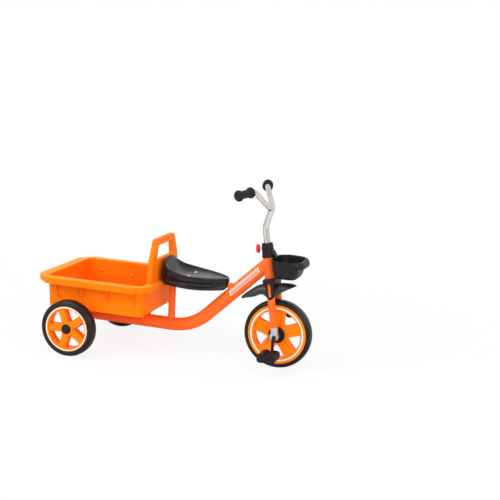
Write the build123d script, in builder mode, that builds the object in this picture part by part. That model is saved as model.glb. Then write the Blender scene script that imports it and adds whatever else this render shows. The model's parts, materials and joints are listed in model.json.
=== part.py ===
from build123d import *
import os
from math import asin, cos, radians, sin, sqrt, tan

# Child's pedal tricycle with a cargo tub.  Millimetres, +X forward, +Y left, +Z up.
# The origin is on the ground, under the middle of the overall length.

os.makedirs("parts", exist_ok=True)

# ---------------------------------------------------------------- sizes of the wheels
wheelbase = 752
rear_track = 462
front_tyre_radius = 130
front_tyre_width = 46
front_rim_radius = 113
front_barrel_radius = 92
front_hub_radius = 27
front_spoke_at_hub = 38
front_spoke_at_rim = 46
front_web_at_hub = 17
front_web_waist = 11
front_web_at_rim = 15
front_trough_width = 24
rear_tyre_radius = 107
rear_tyre_width = 47
rear_rim_radius = 87
rear_barrel_radius = 76
rear_hub_radius = 25
rear_spoke_at_hub = 22
rear_spoke_at_rim = 25
rear_web_at_hub = 17
rear_web_waist = 15
rear_web_at_rim = 16
rear_ridge_width = 8
rear_wheel_turn = 20
spoke_count = 5
spoke_relief = 2.5
window_corner = 5
tyre_tread_inset = 9
tyre_shoulder_depth = 6
rim_lip = 3
hub_inset = 2
running_clearance = 0.08
hub_disc_radius = 32
hub_disc_thickness = 3
hub_step_radius = 24
hub_step_thickness = 2
rear_cap_radius = 19
rear_cap_thickness = 5
rear_cap_bevel = 1.5

# ---------------------------------------------------------------- sizes of the frame
main_tube_diameter = 50
main_tube_wall = 2
main_tube_rise = 3
main_tube_tail = 38
gooseneck_angle = 44
gooseneck_radius = 200
gooseneck_corner = 408
axle_tube_diameter = 30
axle_tube_wall = 3
axle_rod_diameter = 12
axle_spacer_length = 6
axle_spacer_depth = 14
axle_end_play = 0.5
plug_depth = 18
plug_head = 4
plug_bevel = 2
head_tube_diameter = 44
head_tube_bore = 34
head_tube_length = 86
head_tube_above_neck = 27
bush_flange = 3
bush_depth = 14

# ---------------------------------------------------------------- sizes of the steering
rake = 9
fork_offset = 8
steerer_diameter = 25
fork_leg_spread = 84
fork_leg_diameter = 27
crown_thickness = 12
dropout_diameter = 30
dropout_length = 32
dropout_eye = 34
dropout_floor = 20
shroud_wall = 3
shroud_length = 47
shroud_skirt = 4
shroud_clearance = 1.5
shroud_bevel = 2
head_clearance = 2
leg_guard_clearance = 0.3
leg_guard_length = 78
leg_guard_window = 56
leg_guard_window_width = 12
leg_guard_tip = 8
collar_diameter = 45
collar_length = 46
collar_ring_diameter = 47
collar_ring_length = 12
collar_bevel = 2
stem_diameter = 24
stem_seat = 30
stem_straight = 60
stem_reach = 30
stem_height = 65
stem_bend_radius = 60
bar_diameter = 20
bar_root = 16
bar_root_rise = 2
bar_inner_forward = -3
bar_inner_left = 79
bar_inner_up = 75
bar_outer_forward = -30
bar_outer_left = 168
bar_outer_up = 73
bar_bend_radius = 14
grip_diameter = 30
grip_flange_diameter = 41
grip_flange_length = 7
grip_flange_bevel = 2
grip_inset = 22
knob_diameter = 34
knob_thickness = 9
knob_above_head = 29
knob_stand_off = 10
knob_screw_diameter = 6
knob_flute = 5
knob_flutes = 8
mudguard_radius = 265
mudguard_lead = 29
mudguard_rise = 1
mudguard_depth = 24
mudguard_wall = 2.5
mudguard_half_width = 27
# The crowned section, as shares of its half width and of its depth.
mudguard_crown = ((1, 1), (0.86, 0.45), (0.55, 0.12), (0.20, 0))
mudguard_tail = 176
mudguard_tail_drop = 72
mudguard_flank = 125
mudguard_flank_drop = 53
mudguard_belly = 26
mudguard_belly_drop = 28
mudguard_beak = 26
mudguard_beak_drop = 5
mudguard_pad_size = 30
mudguard_pad = 10

# ---------------------------------------------------------------- sizes of the cranks and pedals
crank_diameter = 11
crank_length = 60
crank_gap = 1
crank_bend_radius = 10
pedal_gap = 2
pedal_length = 70
pedal_block_width = 31
pedal_block_height = 33
pedal_block_corner = 11
pedal_block_spacing = 37
pedal_bridge_height = 20
pedal_cap = 5
pedal_groove = 2
pedal_groove_depth = 1.2
pedal_grooves = 4

# ---------------------------------------------------------------- sizes of the seat
seat_gap = 3
seat_drop = 1
seat_wall = 4
seat_band = 9
seat_bead = 13
seat_bead_round = 3
seat_step = 2
seat_lip = 0.86
seat_dish = 0.62
seat_dish_rise = 0.3
seat_dish_height = 22
seat_foot_sink = 1
seat_pad_front = 127
seat_pad_back = 79
seat_pad_half = 24
strap_drop = 17
strap_width = 54
strap_thickness = 4
strap_length = 126
seat_post_diameter = 27
seat_post_wall = 2
seat_post_setback = 19
nose_block_length = 10
nose_block_width = 24
nose_block_height = 16
nose_block_drop = 3
# Each row is a share of the length from back to nose, the half width there, the heights of the
# skirt's foot, the rim and the middle over the foot's level at the back, and the side's recess.
seat_sections = (
    (0.00, 55, 0, 30, 34, 0.5),
    (0.03, 63, 0, 62, 76, 0.5),
    (0.08, 68, 0, 72, 98, 1),
    (0.14, 71, 0, 63, 68, 2),
    (0.22, 75, -1, 57, 36, 3),
    (0.38, 83, -2, 48, 26, 3),
    (0.54, 79, -4, 38, 23, 3),
    (0.72, 62, -5, 34, 22, 3),
    (0.86, 39, -5, 34, 22, 2),
    (0.95, 21, -5, 36, 27, 1),
    (1.00, 9, -2, 34, 30, 0.5),
)

# ---------------------------------------------------------------- sizes of the tub
tub_rear = 170
tub_front = 298
tub_half_width = 210
tub_rim_height = 286
tub_rim_crown = 7
tub_flange_height = 24
tub_corner = 52
tub_wall = 4
tub_depth = 119
tub_lip_height = 11
tub_lip_step = 2
body_rear = 130
body_front = 272
body_half_width = 180
body_corner = 24
body_draft = 2
rim_notch_length = 26
rim_notch_width = 5
rim_notch_depth = 3
rim_notch_angle = 35
rim_notch_pitch = 150
rim_notch_count = 3
gusset_pitch = 112
gusset_count = 4
gusset_thickness = 3
gusset_height = 66
boss_diameter = 12
boss_height = 2
boss_pitch = 150
boss_drop = 42
panel_thickness = 17
panel_foot_half = 133
panel_shoulder = 84
panel_height = 164
panel_top_half = 93
panel_corner = 10
window_top_margin = 24
window_height = 44
window_top_half = 70
window_foot_half = 87
window_round = 6
flute_pitch = 38
flute_count = 6
flute_width = 28
flute_height = 72
flute_depth = 3
flute_lift = 6
bearer_width = 40
bearer_length = 150
bearer_edge = 12
bearer_saddle = 8
bearer_saddle_rise = 6
bearer_wall = 3
bearer_rear = 45
bearer_front = 195

# ---------------------------------------------------------------- sizes of the basket
basket_length = 112
basket_half_width = 75
basket_depth = 64
basket_below_collar = 5
basket_clearance = 3
basket_wall = 3
basket_floor_setback = 10
basket_floor_length = 50
basket_floor_half = 48
basket_floor_corner = 20
basket_waist_height = 16
basket_waist_length = 93
basket_waist_half = 69
basket_waist_corner = 36
basket_rim_corner = 45
basket_lip = 5
basket_lip_height = 6
hanger_width = 30
hanger_rise = 12
hanger_drop = 20
hanger_clearance = 3

# ---------------------------------------------------------------- stations worked out from the sizes
overall_length = tub_rear + wheelbase + front_tyre_radius
rear_x = tub_rear - overall_length / 2
front_x = rear_x + wheelbase
rear_z = rear_tyre_radius
front_z = front_tyre_radius
tube_radius = main_tube_diameter / 2
tube_z = rear_z + main_tube_rise
lean = radians(rake)
bend = radians(gooseneck_angle)

steer_plane = Plane(
    origin=(front_x - fork_offset * cos(lean), 0, front_z - fork_offset * sin(lean)),
    x_dir=(cos(lean), 0, sin(lean)),
    z_dir=(-sin(lean), 0, cos(lean)),
)
steer_foot = steer_plane.origin

# The neck's centre line leaves the level tube at corner_x and ends on the steering axis.
corner_x = rear_x + gooseneck_corner
neck_run = (steer_foot.X - (tube_z - steer_foot.Z) * tan(lean) - corner_x) / (1 + tan(bend) * tan(lean))
neck_end = Vector(corner_x + neck_run, 0, tube_z + neck_run * tan(bend))
neck_meet = (neck_end - steer_foot).length
head_tube_top = neck_meet + head_tube_above_neck
head_tube_bottom = head_tube_top - head_tube_length
crown_top = head_tube_bottom - bush_flange
crown_bottom = crown_top - crown_thickness
collar_bottom = head_tube_top + bush_flange
collar_top = collar_bottom + collar_length
stem_bend = collar_top + stem_straight
stem_top = stem_bend + stem_height


def steer_point(forward, left, up):
    """A point given along the steering's own directions, from the foot of its axis."""
    return steer_plane.from_local_coords(Vector(forward, left, up))


def side_plane(x, y, z, way=-1):
    """A plane across the car, seen from the right, or from the left with way = 1."""
    return Plane(origin=(x, y, z), x_dir=(1, 0, 0), z_dir=(0, way, 0))


def save(piece, name):
    """Labels a finished piece and writes it to its own file."""
    piece.label = name
    export_step(piece, "parts/" + name + ".step")


# ---------------------------------------------------------------- wheels
def both_sides(y, z, profile):
    """A profile given as half widths and radii, closed by its mirror image."""
    return [(y + half, z + radius) for half, radius in profile] + [
        (y - half, z + radius) for half, radius in reversed(profile)
    ]


def make_tyre(x, y, z, radius, width, bead_radius):
    """A foamed tyre: flat tread and sloping shoulders."""
    profile = (
        (width / 2, bead_radius),
        (width / 2, radius - tyre_shoulder_depth),
        (width / 2 - tyre_tread_inset, radius),
    )
    with BuildPart() as tyre:
        with BuildSketch(Plane.YZ.offset(x)):
            Polygon(*both_sides(y, z, profile), align=None)
        revolve(axis=Axis((x, 0, z), (0, 1, 0)))
    return tyre.part


def make_web(x, y, z, inner, outer, at_hub, waist, at_rim):
    """A dished disc, whose half thickness goes from at_hub through waist to at_rim."""
    profile = ((at_hub, inner), (waist, (inner + outer) / 2), (at_rim, outer))
    with BuildPart() as web:
        with BuildSketch(Plane.YZ.offset(x)):
            Polygon(*both_sides(y, z, profile), align=None)
        revolve(axis=Axis((x, 0, z), (0, 1, 0)))
    return web.part


def make_rim(x, y, z, barrel, hub, spokes, web, relief_width, relief_way, turn):
    """A spoked wheel centre.  Its relief is a trough (Mode.SUBTRACT) or a ridge (Mode.INTERSECT)."""
    rim_radius, barrel_radius, barrel_width = barrel
    hub_radius, bore, hub_width = hub
    spoke_at_hub, spoke_at_rim = spokes
    at_hub, waist, at_rim = web
    face = side_plane(x, y, z)
    half_step = radians(180 / spoke_count)
    # Where the flanks of two neighbouring spokes meet, and where they reach the barrel.
    apex = spoke_at_hub / 2 / sin(half_step)
    spread = half_step - asin(spoke_at_rim / 2 / barrel_radius)
    foot = barrel_radius * cos(spread)
    foot_half = barrel_radius * sin(spread)
    with BuildPart() as rim:
        # The raised level of the web, kept only beside the troughs or on the ridges.
        add(make_web(x, y, z, bore + 1, barrel_radius + 1, at_hub, waist, at_rim))
        with BuildSketch(face):
            with PolarLocations(0, spoke_count, start_angle=90 + turn):
                Rectangle(barrel_radius + 2, relief_width, align=(Align.MIN, Align.CENTER))
        extrude(amount=barrel_width, both=True, mode=relief_way)
        add(
            make_web(
                x, y, z, bore + 1, barrel_radius + 1,
                at_hub - spoke_relief, waist - spoke_relief, at_rim - spoke_relief,
            )
        )
        with BuildSketch(face):
            with PolarLocations(0, spoke_count, start_angle=90 + turn + 180 / spoke_count):
                Polygon(
                    (apex + window_corner, 0),
                    (foot, -foot_half),
                    (barrel_radius, 0),
                    (foot, foot_half),
                    align=None,
                )
            fillet(vertices(), window_corner)
        extrude(amount=barrel_width, both=True, mode=Mode.SUBTRACT)
        with BuildSketch(face):
            Circle(rim_radius)
            Circle(barrel_radius, mode=Mode.SUBTRACT)
        extrude(amount=barrel_width / 2, both=True)
        with BuildSketch(face):
            Circle(hub_radius)
        extrude(amount=hub_width / 2, both=True)
        with BuildSketch(face):
            Circle(bore)
        extrude(amount=hub_width, both=True, mode=Mode.SUBTRACT)
    return rim.part


crank_radius = crank_diameter / 2
axle_bore = axle_rod_diameter / 2 + running_clearance
front_hub_width = front_tyre_width - 2 * hub_inset
rear_hub_width = rear_tyre_width - 2 * hub_inset

save(
    make_tyre(front_x, 0, front_z, front_tyre_radius, front_tyre_width, front_rim_radius),
    "front_tyre",
)
save(
    make_rim(
        front_x, 0, front_z,
        barrel=(front_rim_radius, front_barrel_radius, front_tyre_width - 2 * rim_lip),
        hub=(front_hub_radius, crank_radius, front_hub_width),
        spokes=(front_spoke_at_hub, front_spoke_at_rim),
        web=(front_web_at_hub, front_web_waist, front_web_at_rim),
        relief_width=front_trough_width,
        relief_way=Mode.SUBTRACT,
        turn=0,
    ),
    "front_rim",
)

for side, name in ((-1, "right"), (1, "left")):
    with BuildPart() as hub_disc:
        with BuildSketch(side_plane(front_x, side * front_hub_width / 2, front_z, side)):
            Circle(hub_disc_radius)
        extrude(amount=hub_disc_thickness)
        with BuildSketch(side_plane(front_x, side * front_hub_width / 2, front_z, side)):
            Circle(hub_step_radius)
        extrude(amount=hub_disc_thickness + hub_step_thickness)
        with BuildSketch(side_plane(front_x, side * front_hub_width / 2, front_z, side)):
            Circle(crank_radius)
        extrude(amount=hub_disc_thickness + hub_step_thickness, mode=Mode.SUBTRACT)
    save(hub_disc.part, "front_hub_disc_" + name)

for side, name in ((-1, "right"), (1, "left")):
    wheel_y = side * rear_track / 2
    save(
        make_tyre(rear_x, wheel_y, rear_z, rear_tyre_radius, rear_tyre_width, rear_rim_radius),
        "rear_tyre_" + name,
    )
    save(
        make_rim(
            rear_x, wheel_y, rear_z,
            barrel=(rear_rim_radius, rear_barrel_radius, rear_tyre_width - 2 * rim_lip),
            hub=(rear_hub_radius, axle_bore, rear_hub_width),
            spokes=(rear_spoke_at_hub, rear_spoke_at_rim),
            web=(rear_web_at_hub + spoke_relief, rear_web_waist + spoke_relief, rear_web_at_rim + spoke_relief),
            relief_width=rear_ridge_width,
            relief_way=Mode.INTERSECT,
            turn=rear_wheel_turn,
        ),
        "rear_rim_" + name,
    )
    with BuildPart() as hub_cap:
        with BuildSketch(side_plane(rear_x, wheel_y + side * rear_hub_width / 2, rear_z, side)):
            Circle(rear_cap_radius)
        extrude(amount=rear_cap_thickness)
        chamfer(hub_cap.faces().sort_by(Axis.Y, reverse=side > 0)[0].edges(), rear_cap_bevel)
    save(hub_cap.part, "rear_hub_cap_" + name)

# ---------------------------------------------------------------- main tube and rear axle
bend_tangent = gooseneck_radius * tan(bend / 2)
tail_x = rear_x - main_tube_tail
with BuildLine() as neck_route:
    level_run = Line((tail_x, 0, tube_z), (corner_x - bend_tangent, 0, tube_z))
    neck_arc = TangentArc(
        level_run @ 1,
        (corner_x + bend_tangent * cos(bend), 0, tube_z + bend_tangent * sin(bend)),
        tangent=level_run % 1,
    )
    Line(neck_arc @ 1, neck_end)


def along_neck(radius):
    """A round bar along the main tube's centre line."""
    with BuildPart() as bar:
        with BuildSketch(Plane(origin=level_run @ 0, z_dir=(1, 0, 0))):
            Circle(radius)
        sweep(path=neck_route.wires()[0])
    return bar.part


tube_envelope = along_neck(tube_radius)
with BuildPart() as main_tube:
    add(tube_envelope)
    add(along_neck(tube_radius - main_tube_wall), mode=Mode.SUBTRACT)
    # The neck is coped to the head tube, and the cross tube passes through the tail.
    with BuildSketch(steer_plane):
        Circle(head_tube_diameter / 2)
    extrude(amount=head_tube_top + main_tube_diameter, mode=Mode.SUBTRACT)
    with BuildSketch(side_plane(rear_x, 0, rear_z)):
        Circle(axle_tube_diameter / 2)
    extrude(amount=main_tube_diameter, both=True, mode=Mode.SUBTRACT)
save(main_tube.part, "main_tube")

with BuildPart() as tube_plug:
    with BuildSketch(Plane(origin=(tail_x, 0, tube_z), z_dir=(-1, 0, 0))):
        Circle(tube_radius)
    extrude(amount=plug_head)
    chamfer(tube_plug.faces().sort_by(Axis.X)[0].edges(), plug_bevel)
    with BuildSketch(Plane(origin=(tail_x, 0, tube_z), z_dir=(1, 0, 0))):
        Circle(tube_radius - main_tube_wall)
    extrude(amount=plug_depth)
save(tube_plug.part, "tube_plug")

axle_half = (rear_track - rear_hub_width) / 2
axle_tube_end = axle_half - axle_spacer_length
with BuildPart() as axle_tube:
    with BuildSketch(side_plane(rear_x, 0, rear_z)):
        Circle(axle_tube_diameter / 2)
        Circle(axle_tube_diameter / 2 - axle_tube_wall, mode=Mode.SUBTRACT)
    extrude(amount=axle_tube_end, both=True)
save(axle_tube.part, "axle_tube")

# A flanged spacer in each end of the cross tube carries the rod and stops the wheel.
for side, name in ((-1, "right"), (1, "left")):
    with BuildPart() as spacer:
        with BuildSketch(side_plane(rear_x, side * axle_tube_end, rear_z, side)):
            Circle(axle_tube_diameter / 2)
            Circle(axle_rod_diameter / 2, mode=Mode.SUBTRACT)
        extrude(amount=axle_spacer_length - axle_end_play)
        with BuildSketch(side_plane(rear_x, side * axle_tube_end, rear_z, -side)):
            Circle(axle_tube_diameter / 2 - axle_tube_wall)
            Circle(axle_rod_diameter / 2, mode=Mode.SUBTRACT)
        extrude(amount=axle_spacer_depth)
    save(spacer.part, "axle_spacer_" + name)

with BuildPart() as axle_rod:
    with BuildSketch(side_plane(rear_x, 0, rear_z)):
        Circle(axle_rod_diameter / 2)
    extrude(amount=(rear_track + rear_hub_width) / 2 - axle_end_play, both=True)
save(axle_rod.part, "axle_rod")

# ---------------------------------------------------------------- head tube and its bushes
with BuildPart() as head_tube:
    with BuildSketch(steer_plane.offset(head_tube_bottom)):
        Circle(head_tube_diameter / 2)
        Circle(head_tube_bore / 2, mode=Mode.SUBTRACT)
    extrude(amount=head_tube_length)
save(head_tube.part, "head_tube")

for level, way, name in ((head_tube_bottom, 1, "lower"), (head_tube_top, -1, "upper")):
    with BuildPart() as bush:
        with BuildSketch(steer_plane.offset(level)):
            Circle(head_tube_bore / 2)
            Circle(steerer_diameter / 2 + running_clearance, mode=Mode.SUBTRACT)
        extrude(amount=way * bush_depth)
        with BuildSketch(steer_plane.offset(level)):
            Circle(head_tube_diameter / 2)
            Circle(steerer_diameter / 2 + running_clearance, mode=Mode.SUBTRACT)
        extrude(amount=-way * bush_flange)
    save(bush.part, "head_bush_" + name)

# ---------------------------------------------------------------- seat
seat_foot = tub_rim_height - seat_drop
nose_level = seat_foot + nose_block_height / 2 - nose_block_drop
neck_back_at_nose = corner_x + (nose_level - tube_z) / tan(bend) - tube_radius / sin(bend)
seat_back_x = rear_x + tub_front + seat_gap
seat_nose_x = neck_back_at_nose - nose_block_length
seat_length = seat_nose_x - seat_back_x


def seat_outline(half, foot, rim, middle, recess):
    """One cross-section: band, recess and bead up the side, then the dished top."""
    side = (
        (half, foot),
        (half, foot + seat_band),
        (half - recess, foot + seat_band + seat_step),
        (half - recess, rim - seat_bead - seat_step),
        (half, rim - seat_bead),
        (half, rim - seat_bead_round),
        (half - seat_bead_round, rim),
        (half * seat_lip - seat_bead_round, rim),
        (half * seat_dish - seat_bead_round, middle + (rim - middle) * seat_dish_rise),
    )
    return [(y, seat_foot + z) for y, z in side] + [(-y, seat_foot + z) for y, z in reversed(side)]


with BuildPart() as seat:
    for share, half, foot, rim, middle, recess in seat_sections:
        with BuildSketch(Plane.YZ.offset(seat_back_x + share * seat_length)):
            Polygon(*seat_outline(half, foot, rim, middle, recess), align=None)
    loft(ruled=True)
    # Hollow from below.
    hollow_back = seat_back_x + seat_wall
    hollow_run = seat_length - 2 * seat_wall
    for share, half, foot, rim, middle, recess in seat_sections:
        with BuildSketch(Plane.YZ.offset(hollow_back + share * hollow_run)):
            with Locations((0, seat_foot + foot - seat_foot_sink)):
                Rectangle(
                    2 * (half - seat_wall - recess),
                    min(middle, seat_dish_height) - seat_wall - foot + seat_foot_sink,
                    align=(Align.CENTER, Align.MIN),
                )
    loft(ruled=True, mode=Mode.SUBTRACT)
    # A pad under the floor takes the two screws of the strap.
    with BuildSketch(Plane.XY.offset(seat_foot + strap_drop)):
        with Locations((seat_back_x + (seat_pad_back + seat_pad_front) / 2, 0)):
            Rectangle(seat_pad_front - seat_pad_back, 2 * seat_pad_half)
    extrude(amount=seat_wall)
save(seat.part, "seat")

strap_top = seat_foot + strap_drop
with BuildPart() as seat_strap:
    with BuildSketch(Plane.XY.offset(strap_top - strap_thickness)):
        with Locations((seat_back_x + seat_wall + strap_length / 2, 0)):
            RectangleRounded(strap_length, strap_width, strap_thickness)
    extrude(amount=strap_thickness)
save(seat_strap.part, "seat_strap")

with BuildPart() as seat_post:
    with BuildSketch(Plane.XY.offset(tube_z)):
        with Locations((seat_back_x + seat_post_setback, 0)):
            Circle(seat_post_diameter / 2)
            Circle(seat_post_diameter / 2 - seat_post_wall, mode=Mode.SUBTRACT)
    extrude(amount=strap_top - strap_thickness - tube_z)
    add(tube_envelope, mode=Mode.SUBTRACT)
save(seat_post.part, "seat_post")

# A block welded to the back of the neck carries the saddle's nose.
nose_top = seat_foot - nose_block_drop + nose_block_height
nose_foot = seat_foot - nose_block_drop
with BuildPart() as nose_block:
    with BuildSketch(Plane.XZ):
        with BuildLine():
            Polyline(
                (seat_nose_x, nose_foot),
                (seat_nose_x, nose_top),
                (corner_x + (nose_top - tube_z) / tan(bend), nose_top),
                (corner_x + (nose_foot - tube_z) / tan(bend), nose_foot),
                close=True,
            )
        make_face()
    extrude(amount=nose_block_width / 2, both=True)
    add(tube_envelope, mode=Mode.SUBTRACT)
save(nose_block.part, "nose_block")

# ---------------------------------------------------------------- tub
tub_crown_z = tub_rim_height + tub_rim_crown
tub_underside = tub_rim_height - tub_depth
panel_back_x = rear_x + body_front - tub_wall
body_mid_x = rear_x + (body_front - body_rear) / 2


def tub_outline(front, rear, half):
    """Rectangle between two stations measured from the rear axle."""
    with Locations((rear_x + (front - rear) / 2, 0)):
        Rectangle(front + rear, 2 * half)


with BuildPart() as tub:
    # The rim is a crowned band with a turned-down flange.
    with BuildSketch(Plane.XY.offset(tub_rim_height - tub_flange_height)):
        tub_outline(tub_front, tub_rear, tub_half_width)
        chamfer(vertices(), tub_corner)
    extrude(amount=tub_flange_height)
    with BuildSketch(Plane.XY.offset(tub_rim_height)):
        tub_outline(tub_front, tub_rear, tub_half_width)
        chamfer(vertices(), tub_corner)
    with BuildSketch(Plane.XY.offset(tub_crown_z)):
        tub_outline(body_front + tub_wall, body_rear + tub_wall, body_half_width + tub_wall)
        chamfer(vertices(), body_corner)
    loft()
    with BuildSketch(Plane.XY.offset(tub_rim_height - tub_flange_height)):
        tub_outline(tub_front - tub_wall, tub_rear - tub_wall, tub_half_width - tub_wall)
        chamfer(vertices(), tub_corner - tub_wall * (2 - sqrt(2)))
    extrude(amount=tub_flange_height - tub_wall, mode=Mode.SUBTRACT)
    # Gussets between the flange and the walls taper away down the sides.
    for side in (-1, 1):
        with BuildSketch(Plane.YZ.offset(body_mid_x)):
            with BuildLine():
                Polyline(
                    (side * (body_half_width - tub_wall), tub_rim_height - tub_wall),
                    (side * (tub_half_width - tub_wall), tub_rim_height - tub_wall),
                    (side * (tub_half_width - tub_wall), tub_rim_height - tub_flange_height / 2),
                    (side * (body_half_width - tub_wall), tub_rim_height - gusset_height),
                    close=True,
                )
            make_face()
        gusset = extrude(amount=gusset_thickness / 2, both=True, mode=Mode.PRIVATE)
        with GridLocations(gusset_pitch, 1, gusset_count, 1):
            add(gusset)
    # Drafted body.
    with BuildSketch(Plane(origin=(0, 0, tub_crown_z - 1), x_dir=(1, 0, 0), z_dir=(0, 0, -1))):
        tub_outline(body_front, body_rear, body_half_width)
        fillet(vertices(), body_corner)
    extrude(amount=tub_crown_z - 1 - tub_underside, taper=body_draft)
    # Front panel with its carrying handle and shallow flutes.
    with BuildSketch(Plane(origin=(panel_back_x, 0, 0), x_dir=(0, 1, 0), z_dir=(1, 0, 0))):
        with BuildLine():
            Polyline(
                (-panel_foot_half, tub_rim_height - tub_wall),
                (-panel_foot_half, tub_rim_height + panel_shoulder),
                (-panel_top_half, tub_rim_height + panel_height),
                (panel_top_half, tub_rim_height + panel_height),
                (panel_foot_half, tub_rim_height + panel_shoulder),
                (panel_foot_half, tub_rim_height - tub_wall),
                close=True,
            )
        make_face()
        fillet(vertices().group_by(Axis.Y)[-1], panel_corner)
    extrude(amount=panel_thickness)
    window_top = tub_rim_height + panel_height - window_top_margin
    with BuildSketch(Plane(origin=(panel_back_x, 0, 0), x_dir=(0, 1, 0), z_dir=(1, 0, 0))):
        Polygon(
            (-window_foot_half, window_top - window_height),
            (window_foot_half, window_top - window_height),
            (window_top_half, window_top),
            (-window_top_half, window_top),
            align=None,
        )
        fillet(vertices(), window_round)
    extrude(amount=panel_thickness, mode=Mode.SUBTRACT)
    flute_middle = tub_crown_z + flute_lift + flute_height / 2
    with BuildSketch(
        Plane(origin=(panel_back_x + panel_thickness, 0, flute_middle), x_dir=(0, 1, 0), z_dir=(1, 0, 0))
    ):
        with GridLocations(flute_pitch, 1, flute_count, 1):
            Rectangle(flute_width, flute_height)
    extrude(amount=-flute_depth, mode=Mode.SUBTRACT)
    # Cavity, with a wider lip round its mouth.
    with BuildSketch(Plane(origin=(0, 0, tub_crown_z + 1), x_dir=(1, 0, 0), z_dir=(0, 0, -1))):
        tub_outline(body_front - tub_wall, body_rear - tub_wall, body_half_width - tub_wall)
        fillet(vertices(), body_corner - tub_wall)
    extrude(amount=tub_crown_z + 1 - tub_underside - tub_wall, taper=body_draft, mode=Mode.SUBTRACT)
    with BuildSketch(Plane.XY.offset(tub_crown_z - tub_lip_height)):
        tub_outline(
            body_front - tub_wall,
            body_rear - tub_wall + tub_lip_step,
            body_half_width - tub_wall + tub_lip_step,
        )
        fillet(vertices(), body_corner - tub_wall)
    extrude(amount=tub_lip_height + 1, mode=Mode.SUBTRACT)
    # Slanted notches in the top of each long rim.
    band_middle = (tub_half_width + body_half_width) / 2
    for side in (-1, 1):
        with BuildSketch(Plane.XY.offset(tub_crown_z)):
            with Locations((body_mid_x, side * band_middle)):
                with GridLocations(rim_notch_pitch, 1, rim_notch_count, 1):
                    SlotOverall(rim_notch_length, rim_notch_width, rotation=side * rim_notch_angle)
        extrude(amount=-rim_notch_depth - tub_rim_crown / 2, mode=Mode.SUBTRACT)
    # Round bosses inside the long walls.
    boss_reach = body_half_width - tub_wall - boss_drop * tan(radians(body_draft))
    for side in (-1, 1):
        with BuildSketch(side_plane(body_mid_x, side * (boss_reach + 1), tub_crown_z - boss_drop, -side)):
            with GridLocations(boss_pitch, 1, 2, 1):
                Circle(boss_diameter / 2)
        extrude(amount=boss_height + 1)
save(tub.part, "tub")

for station, name in ((bearer_rear, "rear"), (bearer_front, "front")):
    with BuildPart() as bearer:
        across = Plane(origin=(rear_x + station, 0, 0), x_dir=(0, 1, 0), z_dir=(1, 0, 0))
        with BuildSketch(across):
            with BuildLine():
                Polyline(
                    (-bearer_length / 2, tub_underside),
                    (bearer_length / 2, tub_underside),
                    (bearer_length / 2, tub_underside - bearer_edge),
                    (tube_radius + bearer_saddle, tube_z + bearer_saddle_rise),
                    (-tube_radius - bearer_saddle, tube_z + bearer_saddle_rise),
                    (-bearer_length / 2, tub_underside - bearer_edge),
                    close=True,
                )
            make_face()
        extrude(amount=bearer_width / 2, both=True)
        # Open below, like a pressed channel.
        with BuildSketch(across):
            with Locations((0, tub_underside - bearer_wall)):
                Rectangle(bearer_length, tub_underside - tube_z, align=(Align.CENTER, Align.MAX))
        extrude(amount=bearer_width / 2 - bearer_wall, both=True, mode=Mode.SUBTRACT)
        add(tube_envelope, mode=Mode.SUBTRACT)
    save(bearer.part, "bearer_" + name)

# ---------------------------------------------------------------- fork
leg_y = fork_leg_spread / 2
axle_plane = Plane(origin=(front_x, 0, front_z), x_dir=steer_plane.x_dir, z_dir=steer_plane.z_dir)

with BuildPart() as steerer:
    with BuildSketch(steer_plane.offset(crown_top)):
        Circle(steerer_diameter / 2)
    extrude(amount=collar_top - stem_seat - crown_top)
save(steerer.part, "steerer")

with BuildPart() as crown:
    with BuildSketch(steer_plane.offset(crown_bottom)):
        SlotCenterToCenter(fork_leg_spread, fork_leg_diameter, rotation=90)
        with Locations((fork_offset, 0)):
            SlotCenterToCenter(fork_leg_spread, fork_leg_diameter, rotation=90)
    extrude(amount=crown_thickness)
save(crown.part, "fork_crown")

dropout_half = dropout_diameter / 2 - 1
for side, name in ((-1, "right"), (1, "left")):
    with BuildPart() as leg:
        with BuildSketch(axle_plane.offset(dropout_floor)):
            with Locations((0, side * leg_y)):
                Circle(fork_leg_diameter / 2)
        extrude(amount=crown_bottom - dropout_floor)
    save(leg.part, "fork_leg_" + name)

    # A plated sleeve under each leg ends in a cross eye for the crank axle.
    with BuildPart() as dropout:
        with BuildSketch(axle_plane):
            with Locations((0, side * leg_y)):
                Circle(dropout_diameter / 2)
        extrude(amount=dropout_length)
        with BuildSketch(side_plane(front_x, side * leg_y, front_z)):
            Circle(dropout_eye / 2)
        extrude(amount=dropout_half, both=True)
        with BuildSketch(side_plane(front_x, side * leg_y, front_z)):
            Circle(crank_radius + running_clearance)
        extrude(amount=dropout_diameter, both=True, mode=Mode.SUBTRACT)
        with BuildSketch(axle_plane.offset(dropout_floor)):
            with Locations((0, side * leg_y)):
                Circle(fork_leg_diameter / 2)
        extrude(amount=dropout_length, mode=Mode.SUBTRACT)
    save(dropout.part, "dropout_" + name)

# ---------------------------------------------------------------- fork shroud and leg guards
shroud_span = fork_leg_spread + fork_leg_diameter + 2 * (shroud_wall + shroud_clearance)
shroud_bottom = crown_bottom - shroud_skirt
with BuildPart() as shroud:
    with BuildSketch(steer_plane.offset(shroud_bottom)):
        with Locations((fork_offset / 2, 0)):
            SlotOverall(shroud_span, shroud_length, rotation=90)
    extrude(amount=crown_top + bush_flange - shroud_bottom)
    chamfer(shroud.faces().sort_by(Axis.Z)[-1].edges(), shroud_bevel)
    with BuildSketch(steer_plane.offset(shroud_bottom)):
        with Locations((fork_offset / 2, 0)):
            SlotOverall(shroud_span - 2 * shroud_wall, shroud_length - 2 * shroud_wall, rotation=90)
    extrude(amount=crown_top - shroud_bottom, mode=Mode.SUBTRACT)
    with BuildSketch(steer_plane.offset(crown_top)):
        Circle(head_tube_diameter / 2 + head_clearance)
    extrude(amount=bush_flange, mode=Mode.SUBTRACT)
save(shroud.part, "fork_shroud")

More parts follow.
